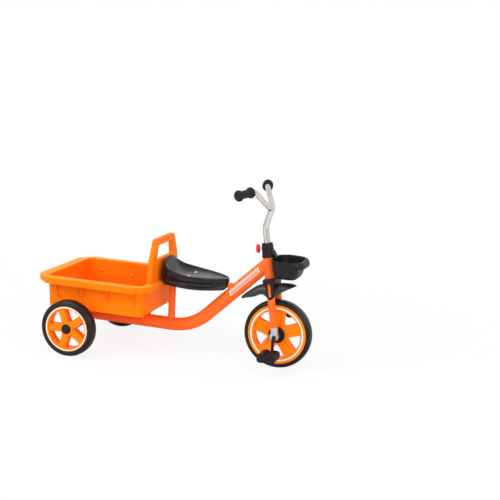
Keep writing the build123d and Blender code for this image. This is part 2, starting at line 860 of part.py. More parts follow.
guard_radius = fork_leg_diameter / 2 + shroud_wall
for side, name, inward in ((-1, "right", Align.MIN), (1, "left", Align.MAX)):
    with BuildPart() as guard:
        with BuildSketch(axle_plane.offset(shroud_bottom - leg_guard_length)):
            with Locations((0, side * leg_y)):
                Circle(guard_radius)
                Circle(fork_leg_diameter / 2 + leg_guard_clearance, mode=Mode.SUBTRACT)
        extrude(amount=leg_guard_length)
        # Seen from the side its lower end is round, with a long window above.
        with BuildSketch(Plane(origin=(front_x, 0, front_z), x_dir=axle_plane.x_dir, z_dir=(0, -1, 0))):
            with Locations((0, shroud_bottom + guard_radius)):
                Rectangle(2 * guard_radius, leg_guard_length, align=(Align.CENTER, Align.MAX))
            with Locations((0, shroud_bottom - leg_guard_length + guard_radius)):
                Circle(guard_radius)
            with Locations((0, shroud_bottom - leg_guard_length + leg_guard_tip + leg_guard_window / 2)):
                SlotOverall(leg_guard_window, leg_guard_window_width, rotation=90, mode=Mode.SUBTRACT)
        extrude(amount=fork_leg_spread, both=True, mode=Mode.INTERSECT)
        # It is open towards the wheel.
        with BuildSketch(axle_plane.offset(shroud_bottom - leg_guard_length)):
            with Locations((0, side * (leg_y + leg_guard_clearance))):
                Rectangle(fork_leg_spread, fork_leg_spread, align=(Align.CENTER, inward))
        extrude(amount=leg_guard_length, mode=Mode.SUBTRACT)
    save(guard.part, "leg_guard_" + name)

# ---------------------------------------------------------------- mudguard
# Its crown is an arc about a low centre, which just misses the crown of the fork.
mudguard_x = front_x + mudguard_lead
mudguard_top = steer_point(0, 0, crown_bottom).Z + mudguard_rise
mudguard_z = mudguard_top - mudguard_radius


def mudguard_section(half, crown):
    """The crowned section's outer line, as half widths and radii."""
    return [(half * across, crown - mudguard_depth * down) for across, down in mudguard_crown]


with BuildPart() as mudguard:
    with BuildSketch(Plane.YZ.offset(mudguard_x)):
        Polygon(*both_sides(0, mudguard_z, mudguard_section(mudguard_half_width, mudguard_radius)), align=None)
        Polygon(
            *both_sides(
                0, mudguard_z,
                mudguard_section(mudguard_half_width - mudguard_wall, mudguard_radius - mudguard_wall),
            ),
            align=None,
            mode=Mode.SUBTRACT,
        )
    revolve(axis=Axis((mudguard_x, 0, mudguard_z), (0, 1, 0)))
    # Seen from the side it is a crescent that runs out to a tip at each end.
    with BuildSketch(side_plane(mudguard_x, 0, mudguard_top)):
        Polygon(
            (-mudguard_tail, -mudguard_tail_drop),
            (-mudguard_flank, -mudguard_flank_drop),
            (-mudguard_belly, -mudguard_belly_drop),
            (mudguard_beak, -mudguard_beak_drop),
            (mudguard_beak, mudguard_wall),
            (-mudguard_tail, mudguard_wall),
            align=None,
        )
    extrude(amount=mudguard_half_width, both=True, mode=Mode.INTERSECT)
    with BuildSketch(steer_plane.offset(crown_bottom)):
        with Locations((fork_offset / 2, 0)):
            Rectangle(mudguard_pad_size, mudguard_pad_size)
    extrude(amount=-mudguard_pad)
save(mudguard.part, "mudguard")

# ---------------------------------------------------------------- collar and clamp knob
with BuildPart() as collar:
    with BuildSketch(steer_plane.offset(collar_bottom)):
        Circle(collar_diameter / 2)
    extrude(amount=collar_length)
    chamfer(collar.faces().sort_by(Axis.Z)[-1].edges(), collar_bevel)
    with BuildSketch(steer_plane.offset(collar_bottom)):
        Circle(collar_ring_diameter / 2)
    extrude(amount=collar_ring_length)
    with BuildSketch(steer_plane.offset(collar_bottom)):
        Circle(steerer_diameter / 2)
    extrude(amount=collar_length - stem_seat, mode=Mode.SUBTRACT)
    with BuildSketch(steer_plane.offset(collar_top - stem_seat)):
        Circle(stem_diameter / 2)
    extrude(amount=stem_seat, mode=Mode.SUBTRACT)
save(collar.part, "collar")

knob_plane = Plane(
    origin=steer_point(-collar_diameter / 2, 0, head_tube_top + knob_above_head),
    x_dir=(0, 1, 0),
    z_dir=-steer_plane.x_dir,
)
with BuildPart() as knob_screw:
    with BuildSketch(knob_plane):
        Circle(knob_screw_diameter / 2)
    extrude(amount=knob_stand_off)
save(knob_screw.part, "knob_screw")

with BuildPart() as knob:
    with BuildSketch(knob_plane.offset(knob_stand_off)):
        Circle(knob_diameter / 2)
        with PolarLocations(knob_diameter / 2, knob_flutes):
            Circle(knob_flute / 2, mode=Mode.SUBTRACT)
    extrude(amount=knob_thickness)
save(knob.part, "knob")

# ---------------------------------------------------------------- stem, handlebar and grips
with BuildPart() as stem:
    with BuildLine() as stem_route:
        FilletPolyline(
            steer_point(0, 0, collar_top - stem_seat),
            steer_point(0, 0, stem_bend),
            steer_point(stem_reach, 0, stem_top),
            radius=stem_bend_radius,
        )
    with BuildSketch(Plane(origin=stem_route.line @ 0, z_dir=stem_route.line % 0)):
        Circle(stem_diameter / 2)
    sweep(path=stem_route.wires()[0])
save(stem.part, "stem")


def bar_inner(side):
    return steer_point(bar_inner_forward, side * bar_inner_left, stem_top + bar_inner_up)


def bar_outer(side):
    return steer_point(bar_outer_forward, side * bar_outer_left, stem_top + bar_outer_up)


with BuildPart() as handlebar:
    for side in (-1, 1):
        with BuildLine() as bar_route:
            FilletPolyline(
                steer_point(stem_reach, 0, stem_top),
                steer_point(stem_reach, side * bar_root, stem_top + bar_root_rise),
                bar_inner(side),
                bar_outer(side),
                radius=bar_bend_radius,
            )
        with BuildSketch(Plane(origin=bar_route.line @ 0, z_dir=bar_route.line % 0)):
            Circle(bar_diameter / 2)
        sweep(path=bar_route.wires()[0])
    add(stem.part, mode=Mode.SUBTRACT)
save(handlebar.part, "handlebar")

for side, name in ((-1, "right"), (1, "left")):
    along = (bar_outer(side) - bar_inner(side)).normalized()
    root = Plane(origin=bar_inner(side) + along * grip_inset, z_dir=along)
    reach = (bar_outer(side) - bar_inner(side)).length - grip_inset
    with BuildPart() as grip:
        for start in (0, reach):
            with BuildSketch(root.offset(start)):
                Circle(grip_flange_diameter / 2)
            flange = extrude(amount=grip_flange_length)
            chamfer(flange.edges().filter_by(GeomType.CIRCLE), grip_flange_bevel)
        with BuildSketch(root):
            Circle(grip_diameter / 2)
        extrude(amount=reach)
        with BuildSketch(root):
            Circle(bar_diameter / 2)
        extrude(amount=reach, mode=Mode.SUBTRACT)
    save(grip.part, "grip_" + name)

# ---------------------------------------------------------------- basket
collar_foot = steer_point(0, 0, collar_bottom)
basket_rim_z = collar_foot.Z - basket_below_collar
basket_floor_z = basket_rim_z - basket_depth
basket_waist_z = basket_floor_z + basket_waist_height


def basket_back(level):
    """Where the back wall stands at a level, just ahead of the leaning head tube."""
    axis_x = steer_foot.X - (level - steer_foot.Z) * tan(lean)
    return axis_x + head_tube_diameter / 2 / cos(lean) + basket_clearance


def basket_bowl(inset, floor, top):
    """The bowl's form, drawn in by inset, from its floor to the level top."""
    with BuildPart() as bowl:
        for level, back, length, half, corner in (
            (
                floor, basket_back(basket_floor_z) + basket_floor_setback, basket_floor_length,
                basket_floor_half, basket_floor_corner,
            ),
            (
                basket_waist_z, basket_back(basket_waist_z), basket_waist_length,
                basket_waist_half, basket_waist_corner,
            ),
            (top, basket_back(basket_rim_z), basket_length, basket_half_width, basket_rim_corner),
        ):
            with BuildSketch(Plane.XY.offset(level)):
                with Locations((back + length / 2, 0)):
                    RectangleRounded(length - 2 * inset, 2 * (half - inset), corner - inset)
        loft(ruled=True)
    return bowl.part


with BuildPart() as basket:
    add(basket_bowl(0, basket_floor_z, basket_rim_z))
    # The rim is rolled out and down.
    with BuildSketch(Plane.XY.offset(basket_rim_z - basket_lip_height)):
        with Locations((basket_back(basket_rim_z) + basket_length / 2, 0)):
            RectangleRounded(
                basket_length + 2 * basket_lip,
                2 * (basket_half_width + basket_lip),
                basket_rim_corner + basket_lip,
            )
    extrude(amount=basket_lip_height)
    # The basket hangs from the front of the collar and clears the head tube.
    with BuildSketch(Plane.XZ):
        with Locations((basket_back(basket_rim_z) + basket_wall, basket_rim_z - hanger_drop)):
            Rectangle(
                basket_back(basket_rim_z) + basket_wall - collar_foot.X,
                hanger_drop + hanger_rise,
                align=(Align.MAX, Align.MIN),
            )
    extrude(amount=hanger_width / 2, both=True)
    with BuildSketch(steer_plane):
        Circle(head_tube_diameter / 2 + hanger_clearance)
    extrude(amount=collar_bottom + 1, mode=Mode.SUBTRACT)
    with BuildSketch(steer_plane.offset(collar_bottom)):
        Circle(collar_ring_diameter / 2)
    extrude(amount=collar_ring_length, mode=Mode.SUBTRACT)
    with BuildSketch(steer_plane.offset(collar_bottom)):
        Circle(collar_diameter / 2)
    extrude(amount=collar_length, mode=Mode.SUBTRACT)
    add(basket_bowl(basket_wall, basket_floor_z + basket_wall, basket_rim_z + 1), mode=Mode.SUBTRACT)
save(basket.part, "basket")

# ---------------------------------------------------------------- crank and pedals
arm_y = leg_y + dropout_half + crank_gap + crank_bend_radius
pedal_start = arm_y + crank_bend_radius + pedal_gap
pin_end = pedal_start + pedal_length - pedal_cap
with BuildPart() as crank:
    with BuildLine() as crank_route:
        FilletPolyline(
            (front_x, -pin_end, front_z - crank_length),
            (front_x, -arm_y, front_z - crank_length),
            (front_x, -arm_y, front_z),
            (front_x, arm_y, front_z),
            (front_x, arm_y, front_z + crank_length),
            (front_x, pin_end, front_z + crank_length),
            radius=crank_bend_radius,
        )
    with BuildSketch(Plane(origin=crank_route.line @ 0, z_dir=crank_route.line % 0)):
        Circle(crank_radius)
    sweep(path=crank_route.wires()[0])
save(crank.part, "crank")


def pedal_outline(inset):
    """Two rounded treads, one on each side of the pin."""
    with Locations((-pedal_block_spacing / 2, 0), (pedal_block_spacing / 2, 0)):
        RectangleRounded(
            pedal_block_width - 2 * inset, pedal_block_height - 2 * inset, pedal_block_corner - inset
        )
    Rectangle(pedal_block_spacing, pedal_bridge_height)


groove_pitch = pedal_length / (pedal_grooves + 1)
for side, name in ((-1, "right"), (1, "left")):
    foot = front_z + side * crank_length
    with BuildPart() as pedal:
        with BuildSketch(side_plane(front_x, side * pedal_start, foot, side)):
            pedal_outline(pedal_groove_depth)
        extrude(amount=pedal_length)
        # Rings round the treads, with grooves left between them.
        for ring in range(pedal_grooves + 1):
            with BuildSketch(side_plane(front_x, side * (pedal_start + ring * groove_pitch), foot, side)):
                pedal_outline(0)
            extrude(amount=groove_pitch - (pedal_groove if ring < pedal_grooves else 0))
        with BuildSketch(side_plane(front_x, side * pedal_start, foot, side)):
            Circle(crank_radius + running_clearance)
        extrude(amount=pedal_length - pedal_cap + 1, mode=Mode.SUBTRACT)
    save(pedal.part, "pedal_" + name)
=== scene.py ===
import json
from math import atan2, cos, exp, pi, radians, sin

import bmesh
import bpy
from mathutils import Matrix, Vector


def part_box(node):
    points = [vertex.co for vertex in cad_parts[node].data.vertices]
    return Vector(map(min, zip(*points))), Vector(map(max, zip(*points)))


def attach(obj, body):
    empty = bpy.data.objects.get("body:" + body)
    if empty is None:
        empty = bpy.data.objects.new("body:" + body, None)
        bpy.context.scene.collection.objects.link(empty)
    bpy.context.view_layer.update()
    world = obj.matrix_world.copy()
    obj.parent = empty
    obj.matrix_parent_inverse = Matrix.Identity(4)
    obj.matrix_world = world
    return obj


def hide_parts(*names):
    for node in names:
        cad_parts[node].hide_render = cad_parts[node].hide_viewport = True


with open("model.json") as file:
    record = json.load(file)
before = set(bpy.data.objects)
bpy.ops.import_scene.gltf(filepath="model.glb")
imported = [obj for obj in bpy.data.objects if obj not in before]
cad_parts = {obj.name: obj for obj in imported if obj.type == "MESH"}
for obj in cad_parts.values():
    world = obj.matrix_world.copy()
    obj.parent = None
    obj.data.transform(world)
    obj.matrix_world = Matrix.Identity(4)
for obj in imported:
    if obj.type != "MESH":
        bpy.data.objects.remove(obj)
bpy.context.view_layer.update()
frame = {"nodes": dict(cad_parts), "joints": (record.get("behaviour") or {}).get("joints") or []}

# ---------------------------------------------------------------------------------------------
# Steel frame: a 50 mm gooseneck tube, cross tube, head tube, seat post and tub bearers.
# Mild steel tube and strip, coped and welded, then powder coated in one orange colour.
# ---------------------------------------------------------------------------------------------
class Channel:
    """One output of a finish's nodes.  Arithmetic on it adds Math nodes."""

    def __init__(self, finish, socket):
        self.finish = finish
        self.socket = socket

    def maths(self, operation, first, second):
        return self.finish.node("ShaderNodeMath", {"operation": operation}, {0: first, 1: second})

    def __add__(self, other):
        return self.maths("ADD", self, other)

    def __sub__(self, other):
        return self.maths("SUBTRACT", self, other)

    def __rsub__(self, other):
        return self.maths("SUBTRACT", other, self)

    def __mul__(self, other):
        return self.maths("MULTIPLY", self, other)

    __radd__ = __add__
    __rmul__ = __mul__


class Finish:
    """A material: one shader, with what changes over the surface fed into it."""

    def __init__(self, name, **constants):
        self.material = bpy.data.materials.new(name)
        self.material.use_nodes = True
        self.tree = self.material.node_tree
        self.shader = self.tree.nodes["Principled BSDF"]
        for socket, value in constants.items():
            self.shader.inputs[socket.replace("_", " ")].default_value = value

    def plug(self, socket, value):
        if isinstance(value, Channel):
            self.tree.links.new(value.socket, socket)
        else:
            socket.default_value = value

    def node(self, kind, settings, inputs, output=0):
        """Any node: its settings are set first, then the values or links of its sockets."""
        made = self.tree.nodes.new(kind)
        for key, value in settings.items():
            setattr(made, key, value)
        for key, value in inputs.items():
            self.plug(made.inputs[key], value)
        return Channel(self, made.outputs[output])

    def place(self, stretch=(1, 1, 1)):
        """Where a point is on the piece, stretched along the three directions."""
        point = self.node("ShaderNodeTexCoord", {}, {}, "Object")
        return self.node("ShaderNodeMapping", {}, {"Vector": point, "Scale": stretch})

    def noise(self, scale, detail=3.0, stretch=(1, 1, 1)):
        """Cloudy noise from 0 to 1, in lumps of about 1 / scale metres."""
        return self.node(
            "ShaderNodeTexNoise",
            {},
            {"Vector": self.place(stretch), "Scale": scale, "Detail": detail},
            "Fac",
        )

    def band(self, value, low, high):
        """0 below low, 1 above high, and a smooth step between."""
        return self.node(
            "ShaderNodeMapRange",
            {"interpolation_type": "SMOOTHSTEP"},
            {"Value": value, "From Min": low, "From Max": high},
        )

    def height(self, low, high):
        """How high a point of the piece is, from 0 at low to 1 at high."""
        point = self.node("ShaderNodeTexCoord", {}, {}, "Object")
        return self.band(self.node("ShaderNodeSeparateXYZ", {}, {0: point}, "Z"), low, high)

    def blend(self, factor, first, second):
        """The first colour where factor is 0, and the second where it is 1."""
        return self.node("ShaderNodeMix", {"data_type": "RGBA"}, {0: factor, 6: first, 7: second}, 2)

    def feed(self, socket, value):
        self.plug(self.shader.inputs[socket], value)

    def bump(self, height, depth):
        """Raises the surface by height times depth, in metres."""
        self.feed("Normal", self.node("ShaderNodeBump", {}, {"Height": height, "Distance": depth}))


def tint(red, green, blue):
    """A display colour, 0 to 255, as the shader wants it."""
    return (*(((value / 255 + 0.055) / 1.055) ** 2.4 for value in (red, green, blue)), 1.0)


def dress(finish, *nodes):
    """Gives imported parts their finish."""
    for node in nodes:
        for slot in frame["nodes"][node].material_slots:
            slot.material = finish.material


def to_collection(thing, name):
    """An object of a mesh, a lamp or a camera, put into the scene."""
    made = bpy.data.objects.new(name, thing)
    bpy.context.scene.collection.objects.link(made)
    return made


def piece(name, bm, body, finish, replaces=(), edge=0.0, smooth=0):
    """Makes a piece of a mesh: its finish, rounded edges or subdivision, and its body."""
    mesh = bpy.data.meshes.new(name)
    bm.to_mesh(mesh)
    bm.free()
    mesh.materials.append(finish.material)
    mesh.shade_smooth()
    made = to_collection(mesh, name)
    if edge:
        rounding = made.modifiers.new("rounding", "BEVEL")
        rounding.width = edge
        rounding.segments = 3
        rounding.angle_limit = radians(28)
    if smooth:
        surface = made.modifiers.new("surface", "SUBSURF")
        surface.levels = smooth
        surface.render_levels = smooth
    else:
        made.modifiers.new("shading", "WEIGHTED_NORMAL")
    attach(made, body)
    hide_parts(*replaces)
    return made


def rounded(node, width, segments=3, angle=28, reshape=None):
    """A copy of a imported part, its flat faces joined up and its sharp edges rounded."""
    bm = bmesh.new()
    bm.from_mesh(frame["nodes"][node].data)
    bmesh.ops.remove_doubles(bm, verts=bm.verts, dist=0.00002)
    bmesh.ops.dissolve_limit(bm, angle_limit=radians(1), verts=bm.verts, edges=bm.edges)
    if reshape:
        reshape(bm)
    sharp = [e for e in bm.edges if len(e.link_faces) == 2 and e.calc_face_angle() > radians(angle)]
    bmesh.ops.bevel(
        bm, geom=sharp, offset=width, offset_type="OFFSET", affect="EDGES",
        segments=segments, profile=0.5, material=-1, clamp_overlap=True, loop_slide=True,
    )
    return bm


warm_gloss = (1.0, 0.62, 0.3, 1.0)
coat = Finish("orange_powder_coat", Coat_Roughness=0.2, Specular_IOR_Level=0.08, Specular_Tint=warm_gloss)
coat_clouds = coat.noise(7.0)
coat_scuffs = coat.band(coat.noise(70.0, 6.0, (1, 3, 1)), 0.68, 0.76)
coat_colour = coat.blend(coat_clouds, tint(252, 98, 34), tint(255, 112, 46))
coat.feed("Base Color", coat.blend(coat_scuffs * 0.3, coat_colour, tint(228, 112, 66)))
coat.feed("Roughness", 0.36 + 0.2 * coat_scuffs + 0.06 * coat_clouds)
coat.feed("Coat Weight", 0.08 - 0.06 * coat_scuffs)
coat.bump(coat.noise(420.0, 1.0), 0.00006)
dress(coat, "main_tube", "axle_tube", "head_tube", "seat_post", "nose_block")
for end in ("rear", "front"):
    bearer = rounded("bearer_" + end, 0.0012)
    piece("tub_bearer_" + end, bearer, "frame", coat, ["bearer_" + end])

# ---------------------------------------------------------------------------------------------
# Rear axle: a plated 12 mm rod through the cross tube, with a moulded spacer in each end.
# The tube's tail is closed by a pushed-in polythene plug.  All of it is fitted dry.
# ---------------------------------------------------------------------------------------------
plating = Finish("zinc_plating", Metallic=1.0)
plating_clouds = plating.noise(60.0)
plating.feed("Base Color", plating.blend(plating_clouds, tint(178, 178, 176), tint(205, 205, 205)))
plating.feed("Roughness", 0.24 + 0.16 * plating_clouds)
plating.bump(plating.noise(900.0, 2.0), 0.00003)
dress(plating, "axle_rod", "steerer")

black = Finish("black_polypropylene", Specular_IOR_Level=0.24)
black_clouds = black.noise(14.0)
black.feed("Base Color", black.blend(black_clouds, tint(13, 12, 11), tint(22, 20, 19)))
black.feed("Roughness", 0.38 + 0.14 * black_clouds)
black.bump(black.noise(1300.0, 2.0), 0.00007)
dress(black, "head_bush_lower", "head_bush_upper")
for name in ("tube_plug", "axle_spacer_right", "axle_spacer_left"):
    piece(name + "_moulding", rounded(name, 0.001), "frame", black, [name])

# ---------------------------------------------------------------------------------------------
# Wheels: a hollow five-spoke moulding, a pushed-on foam tyre, and a white line on its flange.
# The front wheel turns with its crank between two hub discs; the rear ones have hub caps.
# ---------------------------------------------------------------------------------------------
foam = Finish("tyre_foam", Specular_IOR_Level=0.3)
foam_clouds = foam.noise(18.0)
foam_pits = foam.noise(1100.0, 3.0)
foam_dust = foam.band(foam.noise(9.0, 4.0), 0.55, 0.8)
foam_colour = foam.blend(foam_clouds, tint(12, 10, 9), tint(19, 16, 15))
foam.feed("Base Color", foam.blend(foam_dust * 0.04, foam_colour, tint(120, 108, 98)))
foam.feed("Roughness", 0.28 + 0.16 * foam_clouds)
foam.bump(foam_pits, 0.00012)

wheel_plastic = Finish("orange_wheel_plastic", Specular_IOR_Level=0.03, Specular_Tint=warm_gloss)
wheel_clouds = wheel_plastic.noise(9.0)
wheel_plastic.feed("Base Color", wheel_plastic.blend(wheel_clouds, tint(253, 124, 16), tint(255, 138, 28)))
wheel_plastic.feed("Roughness", 0.26 + 0.1 * wheel_clouds)
wheel_plastic.bump(wheel_plastic.noise(160.0, 1.0), 0.00008)

line_ink = Finish("white_line_ink", Roughness=0.4)
line_ink.feed("Base Color", line_ink.blend(line_ink.noise(25.0), tint(244, 240, 232), tint(252, 250, 246)))


def turned(outline, centre, axis, steps=96):
    """A solid of revolution from a closed outline of (distance along the axis, radius)."""
    bm = bmesh.new()
    axis = Vector(axis).normalized()
    out = axis.orthogonal().normalized()
    corners = [bm.verts.new(Vector(centre) + axis * along + out * radius) for along, radius in outline]
    sides = [bm.edges.new((a, b)) for a, b in zip(corners, corners[1:] + corners[:1])]
    bmesh.ops.spin(
        bm, geom=corners + sides, cent=centre, axis=axis, angle=2 * pi, steps=steps, use_merge=True
    )
    bmesh.ops.remove_doubles(bm, verts=bm.verts, dist=0.000001)
    bmesh.ops.recalc_face_normals(bm, faces=bm.faces)
    return bm


def mirrored(outline):
    """An outline given for one side of its middle, with its mirror image."""
    return outline + [(-along, radius) for along, radius in reversed(outline)]


sides = (("right", -1), ("left", 1))
# The rim of each tyre, the body that they turn with, and the inner and outer radius of the line.
wheel_kinds = {
    "front_tyre": ("front_rim", "front_wheel", 0.0978, 0.1032),
    "rear_tyre_right": ("rear_rim_right", "rear_wheel_right", 0.0803, 0.0845),
    "rear_tyre_left": ("rear_rim_left", "rear_wheel_left", 0.0803, 0.0845),
}
for tyre_node, (rim_node, body, line_inner, line_outer) in wheel_kinds.items():
    low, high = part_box(tyre_node)
    centre = (low + high) / 2
    radius = (high.z - low.z) / 2
    half = (high.y - low.y) / 2
    rim_low, rim_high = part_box(rim_node)
    rim_radius = (rim_high.z - rim_low.z) / 2
    rim_half = (rim_high.y - rim_low.y) / 2
    # Half the tyre's section: its bead, wall, shoulder groove, tread groove and crown.
    side = [
        (half - 0.0022, rim_radius - 0.0003),
        (half - 0.0006, rim_radius + 0.0010),
        (half, rim_radius + 0.0026),
        (half, rim_radius + 0.0042),
        (half - 0.0008, rim_radius + 0.0052),
        (half - 0.0004, radius - 0.0125),
        (half - 0.0010, radius - 0.0112),
        (half - 0.0022, radius - 0.0106),
        (half - 0.0024, radius - 0.0096),
        (half - 0.0012, radius - 0.0088),
        (half - 0.0018, radius - 0.0066),
        (half - 0.0036, radius - 0.0038),
        (half - 0.0060, radius - 0.0022),
        (half - 0.0072, radius - 0.0030),
        (half - 0.0082, radius - 0.0030),
        (half - 0.0088, radius - 0.0012),
        (half - 0.0116, radius - 0.0006),
        (0.0006, radius - 0.0003),
        (0.0004, radius),
    ]
    tyre = turned(mirrored(side), centre, (0, 1, 0), 144)
    piece(tyre_node + "_foam", tyre, body, foam, [tyre_node])
    rim = rounded(rim_node, 0.0016)
    piece(rim_node + "_moulding", rim, body, wheel_plastic, [rim_node])
    for way in (1, -1):
        face = way * rim_half
        stripe = turned(
            [
                (face - way * 0.0004, line_inner),
                (face + way * 0.0007, line_inner + 0.0004),
                (face + way * 0.0007, line_outer - 0.0004),
                (face - way * 0.0004, line_outer),
            ],
            centre, (0, 1, 0), 144,
        )
        piece(f"{rim_node}_line_{'outer' if way > 0 else 'inner'}", stripe, body, line_ink)

for side_name, way in sides:
    low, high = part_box("front_hub_disc_" + side_name)
    centre = (low + high) / 2
    centre.y = high.y if way < 0 else low.y
    disc = turned(
        [
            (0, 0.0054), (0.0050, 0.0054), (0.0050, 0.0140), (0.0040, 0.0150), (0.0040, 0.0190),
            (0.0050, 0.0200), (0.0050, 0.0238), (0.0030, 0.0242), (0.0030, 0.0285), (0.0022, 0.0312),
            (0.0010, 0.0320), (0, 0.0320),
        ],
        centre, (0, way, 0), 96,
    )
    piece("hub_disc_" + side_name, disc, "front_wheel", black,
          ["front_hub_disc_" + side_name], edge=0.0004)
    low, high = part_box("rear_hub_cap_" + side_name)
    centre = (low + high) / 2
    centre.y = high.y if way < 0 else low.y
    cap = turned(
        [
            (0, 0), (0, 0.0190), (0.0018, 0.0190), (0.0034, 0.0182), (0.0042, 0.0166), (0.0036, 0.0150),
            (0.0036, 0.0142), (0.0044, 0.0128), (0.0049, 0.0080), (0.0050, 0),
        ],
        centre, (0, way, 0), 72,
    )
    piece("hub_cap_" + side_name, cap, "rear_wheel_" + side_name, black,
          ["rear_hub_cap_" + side_name], edge=0.0003)

dress(black, "crank")
for side_name in ("right", "left"):
    piece(f"pedal_{side_name}_tread", rounded("pedal_" + side_name, 0.0007, 2),
          side_name + "_pedal", black, ["pedal_" + side_name])

# ---------------------------------------------------------------------------------------------
# Cargo tub: one injection moulding, with a crowned rim, gussets, a hand hole and a fluted panel.
# Bright orange polypropylene, 4 mm thick, bolted down to the bearers through its floor.
# ---------------------------------------------------------------------------------------------
tub_plastic = Finish("orange_tub_plastic", Specular_IOR_Level=0.03, Specular_Tint=warm_gloss)
tub_clouds = tub_plastic.noise(5.0)
tub_wear = tub_plastic.band(tub_plastic.noise(45.0, 6.0, (1, 1, 3)), 0.66, 0.75)
tub_colour = tub_plastic.blend(tub_clouds, tint(255, 113, 10), tint(255, 127, 18))
# The crown of the rim is painted paler by its height: a painted highlight where the light falls on its top.
painted_crown_highlight = tub_plastic.height(0.2840, 0.2850) - tub_plastic.height(0.2885, 0.2905)
tub_colour = tub_plastic.blend(painted_crown_highlight, tub_colour, tint(255, 148, 30))
tub_plastic.feed("Base Color", tub_plastic.blend(tub_wear * 0.25, tub_colour, tint(255, 168, 70)))
tub_plastic.feed("Roughness", 0.34 + 0.1 * tub_clouds + 0.15 * tub_wear)
tub_plastic.bump(tub_plastic.noise(750.0, 2.0), 0.00008)
# Pale discs on the bosses of the side walls: their pale colour is a painted highlight where light catches
# them.
painted_boss_highlight = Finish("painted_boss_highlight_plastic", Roughness=0.4, Specular_IOR_Level=0.1)
painted_boss_highlight.feed("Base Color", painted_boss_highlight.blend(painted_boss_highlight.noise(60.0), tint(255, 164, 60), tint(255, 186, 96)))
tub_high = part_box("tub")[1]
rim_level = tub_high.z - 0.164
panel_back = -0.095
panel_flute = -0.0745
gusset_places = (-0.453, -0.341, -0.229)
gusset_middle = -0.117
boss_places = (-0.360, -0.210)
boss_drop = 0.035
# Where the two bosses on each side wall are, each under a painted highlight, and how far below the rim.
boss_highlight_places = ((-0.420, 0.0415), (-0.287, 0.0515))


def near(value, middle, reach):
    """Whether a value lies within a reach of a middle."""
    return abs(value - middle) < reach


def tub_shape(bm):
    """The looks of the moulding: a lower crown, long gussets, a slimmer panel and a taller hand hole."""
    for corner in bm.verts:
        place = corner.co
        level = place.z - rim_level
        # The floors of the rim's slots, and then its crown.
        if near(level, 0.0005, 0.00015):
            place.z -= 0.0033
        elif 0 < level < 0.0072:
            place.z -= 0.88 * level
        # The lower tips of the gussets.
        if near(level, -0.0631, 0.0003) and abs(place.y) > 0.176:
            place.z -= 0.020
            place.y *= 0.996
        # The front panel, the tops of its flutes, the foot of its hand hole and the flutes' depth.
        if place.x > panel_back and level > 0.010:
            place.y *= 0.92
            if near(level, 0.085, 0.0004) and place.x > panel_flute:
                place.z -= 0.017
            if 0.0955 < level < 0.1060:
                place.z -= 0.0115
            if panel_flute < place.x < panel_flute + 0.0025:
                place.x += 0.0014
        for gusset in gusset_places:
            if near(place.x, gusset, 0.0017) and abs(place.y) > 0.174 and -0.090 < level < -0.003:
                place.x += (gusset_middle - gusset) * 0.055
                break
        for boss, (mark, mark_drop) in zip(boss_places, boss_highlight_places):
            on_wall = 0.172 < abs(place.y) < 0.175
            if on_wall and near(place.x, boss, 0.007) and near(level, -boss_drop, 0.0065):
                place.x += mark - boss
                place.z += boss_drop - mark_drop
                break
        # The rear end stands a little further forward.
        place.x += 0.006 * min(1.0, max(0.0, (-0.44 - place.x) / 0.03))


piece("cargo_tub", rounded("tub", 0.002, reshape=tub_shape), "frame", tub_plastic, ["tub"])

# A small pale disc on each boss, its colour a painted highlight.
for end, (station, mark_drop) in zip(("rear", "front"), boss_highlight_places):
    for side_name, way in sides:
        mark = turned(
            [(0, 0.0056), (0.0010, 0.0052), (0.0018, 0.0036), (0.0018, 0)],
            (station, way * (tub_high.y - 0.0374), rim_level - mark_drop), (0, -way, 0), 24,
        )
        piece(f"boss_highlight_{end}_{side_name}", mark, "frame", painted_boss_highlight)


def pan_head(centre, axis, radius, washer):
    """A domed head with a round dimple in its top, on a flat washer."""
    return turned(
        [
            (0, 0), (0, washer), (0.0010, washer), (0.0010, radius), (radius * 0.35 + 0.001, radius * 0.96),
            (radius * 0.56 + 0.001, radius * 0.74), (radius * 0.66 + 0.001, radius * 0.34),
            (radius * 0.40 + 0.001, radius * 0.24), (radius * 0.40 + 0.001, 0),
        ],
        centre, axis, 28,
    )


# Zinc-plated pan-head bolts hold the tub down to its bearers, each on a wide washer.
for end in ("rear", "front"):
    bearer_low, bearer_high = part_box("bearer_" + end)
    for side_name, way in sides:
        bolt_place = ((bearer_low.x + bearer_high.x) / 2, way * 0.055, bearer_high.z + 0.004)
        piece(f"floor_bolt_{end}_{side_name}", pan_head(bolt_place, (0, 0, 1), 0.006, 0.010),
              "frame", plating)

# ---------------------------------------------------------------------------------------------
# Saddle: one hollow black moulding with a high curled back, a dished top and a beaded skirt.
# It sits on a steel strap on the seat post, held by two screws, and its nose hooks on a block.
# ---------------------------------------------------------------------------------------------
def neighbours(ring, closed):
    """Each corner of a ring with the next one."""
    return zip(ring, ring[1:] + ring[:1] if closed else ring[1:])


